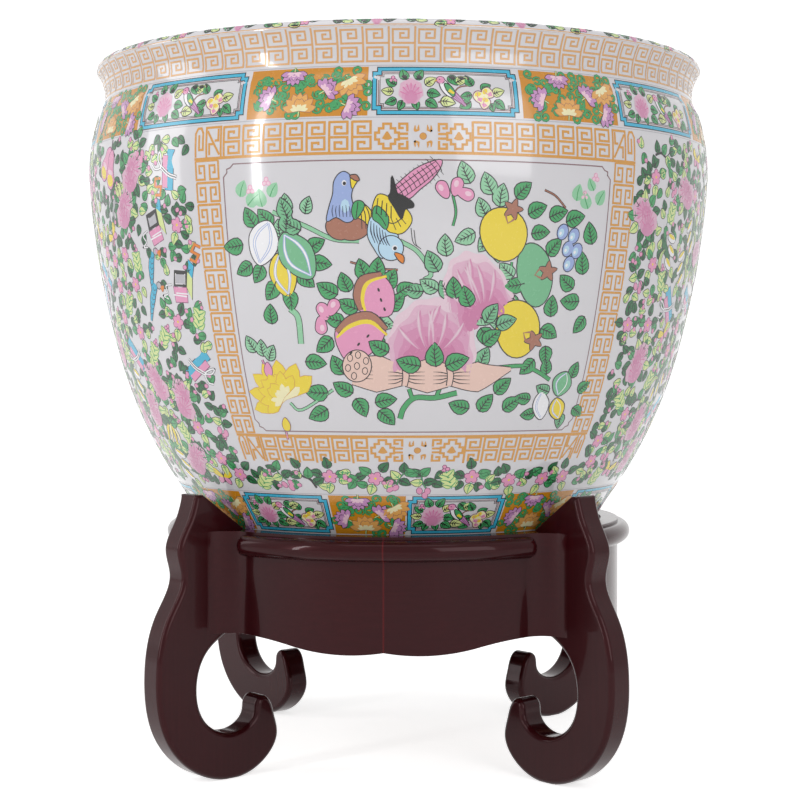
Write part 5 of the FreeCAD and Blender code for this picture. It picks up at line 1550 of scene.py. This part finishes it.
def paint_rim_flowers():
    """Small peonies, pink blossoms and green leaves in a wreath on the white of the lip."""
    p = Painting()
    way = (way_of(552.6) + WAY[CREST]) / 2 + 1.2
    count = 60
    for k in range(count):
        here = Spot(k * FULL_TURN / count, way + 0.6 * math.sin(2.4 * k), 0, 0.8)
        kind = k % 4
        if kind == 0:
            puff(p, here, 13, 9, 2)
            leaf(p, here.at(6, 0, 15), 12, "deep", 1, 1)
            leaf(p, here.at(-6, 0, 170), 12, "leaf", 1, 1)
        elif kind == 2:
            blossom(p, here, 9, 5, "pink", "yellow", coat=2)
            leaf(p, here.at(4, 1, 20), 11, "deep", 1, 1)
            leaf(p, here.at(-4, -1, 200), 11, "lime", 1, 1)
        else:
            leaf(p, here.at(-6, 0, 10), 12, "leaf" if kind == 1 else "deep", 1, 1)
            leaf(p, here.at(2, 1, -20), 10, "lime", 1, 1)
    p.make("rim_wreath")


# ---------------------------------------------------------------- stage

def background_rays(tree):
    """1 on the rays that show the background itself: to the camera, off polished faces and through glass."""
    path = add_node(tree, "LightPath")
    seen = add_node(tree, "Math", {"operation": "MAXIMUM"},
                    {0: path.outputs["Is Camera Ray"], 1: path.outputs["Is Glossy Ray"]})
    return add_node(tree, "Math", {"operation": "MAXIMUM"},
                    {0: seen.outputs[0], 1: path.outputs["Is Transmission Ray"]}).outputs[0]


def stage_material(name, colour, lift):
    """Matt painted board, rolled: even and shadow-keeping; what the camera and polished faces see of it
    is lifted towards white by a little light of its own."""
    material, tree = new_material(name)
    strength = add_node(tree, "Math", {"operation": "MULTIPLY", 1: lift}, {0: background_rays(tree)})
    finish_material(tree, add_node(tree, "BsdfPrincipled", {
        "Base Color": linear(colour), "Roughness": 0.9, "Emission Color": (1, 1, 1, 1)},
        {"Emission Strength": strength.outputs[0]}))
    return material


def add_softbox(name, azimuth, elevation, distance, width, height, power):
    """A flat studio lamp aimed at the bowl; azimuth is from the camera's side of the object, to its right."""
    lamp = bpy.data.lights.new(name, "AREA")
    lamp.shape, lamp.size, lamp.size_y, lamp.energy = "RECTANGLE", width, height, power
    holder = bpy.data.objects.new(name, lamp)
    turn, rise = math.radians(azimuth) + VIEW_TURN, math.radians(elevation)
    away = np.array([math.sin(turn) * math.cos(rise), -math.cos(turn) * math.cos(rise), math.sin(rise)])
    holder.location = away * distance + np.array([0, 0, 0.38])
    holder.rotation_euler = Vector(away.tolist()).to_track_quat("Z", "Y").to_euler()
    bpy.context.scene.collection.objects.link(holder)


def make_stage():
    """Floor running up into a backdrop: a level sheet, a quarter circle of 0.8 m and a wall behind."""
    turn = np.linspace(0, math.pi / 2, 24)
    profile = np.vstack([[(-4.0, 0)], np.column_stack([2.4 + 0.8 * np.sin(turn), 0.8 - 0.8 * np.cos(turn)]),
                         [(3.2, 4.5)]])
    sideways = np.linspace(-5, 5, 9)
    c, s = math.cos(VIEW_TURN), math.sin(VIEW_TURN)
    points = [(x * c - y * s, x * s + y * c, z) for y, z in profile for x in sideways]
    mesh = bpy.data.meshes.new("studio_sweep")
    mesh.from_pydata(points, [], grid_faces(len(profile), len(sideways)).tolist())
    mesh.materials.append(stage_material("matt_white_board", "#f2f2f2", 0.7))
    mesh.polygons.foreach_set("use_smooth", np.ones(len(mesh.polygons), bool))
    sweep = bpy.data.objects.new("studio_sweep", mesh)
    bpy.context.scene.collection.objects.link(sweep)

    world = bpy.data.worlds.new("studio_air")
    bpy.context.scene.world = world
    world.use_nodes = True
    tree = world.node_tree
    tree.nodes.clear()
    strength = add_node(tree, "MapRange", {3: 0.34, 4: 1.0}, {0: background_rays(tree)})
    air = add_node(tree, "Background", {"Color": (1, 1, 1, 1)}, {"Strength": strength.outputs[0]})
    add_node(tree, "OutputWorld", links={"Surface": air.outputs[0]})

    add_softbox("strip_left", -48, 14, 2.2, 0.13, 1.5, 10)
    add_softbox("panel_right", 32, 16, 2.3, 1.1, 1.5, 14)
    add_softbox("panel_left", -88, 16, 2.2, 0.7, 1.4, 8)
    add_softbox("overhead", 0, 78, 2.0, 1.6, 1.6, 9)

    lens = bpy.data.cameras.new("camera")
    lens.sensor_width = 36.0
    lens.lens = VIEW_FOCAL / PHOTO_SIDE * lens.sensor_width
    lens.shift_x = (PHOTO_SIDE / 2 - AXIS_COLUMN) / PHOTO_SIDE
    lens.shift_y = (HORIZON_ROW - PHOTO_SIDE / 2) / PHOTO_SIDE
    camera = bpy.data.objects.new("camera", lens)
    reach = VIEW_DISTANCE * MM
    camera.location = (reach * math.sin(VIEW_TURN), -reach * math.cos(VIEW_TURN), VIEW_HEIGHT * MM)
    camera.rotation_euler = (math.pi / 2, 0, VIEW_TURN)
    bpy.context.scene.collection.objects.link(camera)
    bpy.context.scene.camera = camera
    bpy.context.scene.view_settings.view_transform = "Standard"


# ---------------------------------------------------------------- operators and panel

class JARDINIERE_OT_bowl(bpy.types.Operator):
    """Turn the glazed bowl from its profile"""
    bl_idname = "jardiniere.bowl"
    bl_label = "Bowl"

    def execute(self, context):
        make_bowl()
        return {"FINISHED"}


class JARDINIERE_OT_legs(bpy.types.Operator):
    """Saw and round the four scrolled legs"""
    bl_idname = "jardiniere.legs"
    bl_label = "Legs"

    def execute(self, context):
        for place, degrees in LEGS.items():
            make_leg(place, degrees)
        return {"FINISHED"}


class JARDINIERE_OT_ring(bpy.types.Operator):
    """Make the ring: eight apron boards and four bead mouldings"""
    bl_idname = "jardiniere.ring"
    bl_label = "Aprons and beads"

    def execute(self, context):
        for side, degrees in FRONTS.items():
            make_apron_half(side, degrees - 45, 1)
            make_apron_half(side, degrees + 45, -1)
            make_bead(side, degrees)
        return {"FINISHED"}


class JARDINIERE_OT_carcase(bpy.types.Operator):
    """Finish the rails, blocks, dowels and screw inside the stand"""
    bl_idname = "jardiniere.carcase"
    bl_label = "Carcase finishes"

    def execute(self, context):
        finish_carcase()
        return {"FINISHED"}


class JARDINIERE_OT_neck_fret(bpy.types.Operator):
    """Paint the gold fret round the neck"""
    bl_idname = "jardiniere.neck_fret"
    bl_label = "Neck fret"

    def execute(self, context):
        paint_neck_fret()
        return {"FINISHED"}


class JARDINIERE_OT_bands(bpy.types.Operator):
    """Paint the shoulder band and the foot band"""
    bl_idname = "jardiniere.bands"
    bl_label = "Bands"

    def execute(self, context):
        paint_band("shoulder_band", 488.6, 524.0, math.radians(23.8), math.radians(0.7), FIRST_UPPER,
                   (0.6, -0.5, 0, 0.3, -0.3, 0.1, 0.4, 0.2))
        paint_band("foot_band", 189.5, 219.5, math.radians(24), math.radians(0.5), FIRST_LOWER,
                   (-0.5, 0.3, 0, -0.4, 0.4, 0, -0.2, 1.2))
        return {"FINISHED"}


class JARDINIERE_OT_pictures(bpy.types.Operator):
    """Paint the bordered picture of birds, fruit and flowers, front and back"""
    bl_idname = "jardiniere.pictures"
    bl_label = "Pictures"

    def execute(self, context):
        paint_picture(0.0)
        paint_picture(math.pi)
        return {"FINISHED"}


class JARDINIERE_OT_strewn(bpy.types.Operator):
    """Strew flowers, fruit and tied books over the sides and under the pictures"""
    bl_idname = "jardiniere.strewn"
    bl_label = "Strewn pattern"

    def execute(self, context):
        margin = math.radians(0.6)
        paint_strewn("strewn_right", PANEL_RIGHT + margin, PANEL_LEFT + math.pi - margin, 223.0, 487.0, 3)
        paint_strewn("strewn_left", PANEL_RIGHT + math.pi + margin, PANEL_LEFT + FULL_TURN - margin, 223.0,
                     487.0, 5)
        paint_strewn("strewn_low_front", PANEL_LEFT, PANEL_RIGHT, 223.0, 241.0, 8)
        paint_strewn("strewn_low_back", PANEL_LEFT + math.pi, PANEL_RIGHT + math.pi, 223.0, 241.0, 9)
        return {"FINISHED"}


class JARDINIERE_OT_rim(bpy.types.Operator):
    """Paint the wreath on the lip"""
    bl_idname = "jardiniere.rim"
    bl_label = "Rim wreath"

    def execute(self, context):
        paint_rim_flowers()
        return {"FINISHED"}


class JARDINIERE_OT_stage(bpy.types.Operator):
    """Set up the floor, the lamps and the camera"""
    bl_idname = "jardiniere.stage"
    bl_label = "Stage"

    def execute(self, context):
        make_stage()
        return {"FINISHED"}


class JARDINIERE_PT_sidebar(bpy.types.Panel):
    bl_idname = "JARDINIERE_PT_sidebar"
    bl_label = "Jardiniere"
    bl_space_type = "VIEW_3D"
    bl_region_type = "UI"
    bl_category = "Jardiniere"

    def draw(self, context):
        for name in JardiniereSettings.__annotations__:
            self.layout.prop(context.scene.jardiniere, name)
        for step in STEPS:
            self.layout.operator(step.bl_idname)


STEPS = (
    JARDINIERE_OT_bowl, JARDINIERE_OT_legs, JARDINIERE_OT_ring, JARDINIERE_OT_carcase,
    JARDINIERE_OT_neck_fret, JARDINIERE_OT_bands, JARDINIERE_OT_pictures, JARDINIERE_OT_strewn,
         JARDINIERE_OT_rim,
    JARDINIERE_OT_stage,
)


def register():
    for kind in (JardiniereSettings, *STEPS, JARDINIERE_PT_sidebar):
        bpy.utils.register_class(kind)
    bpy.types.Scene.jardiniere = bpy.props.PointerProperty(type=JardiniereSettings)


def unregister():
    del bpy.types.Scene.jardiniere
    for kind in (JARDINIERE_PT_sidebar, *reversed(STEPS), JardiniereSettings):
        bpy.utils.unregister_class(kind)


def main():
    register()
    for step in STEPS:
        group, name = step.bl_idname.split(".")
        getattr(getattr(bpy.ops, group), name)()


if __name__ == "__main__":
    main()
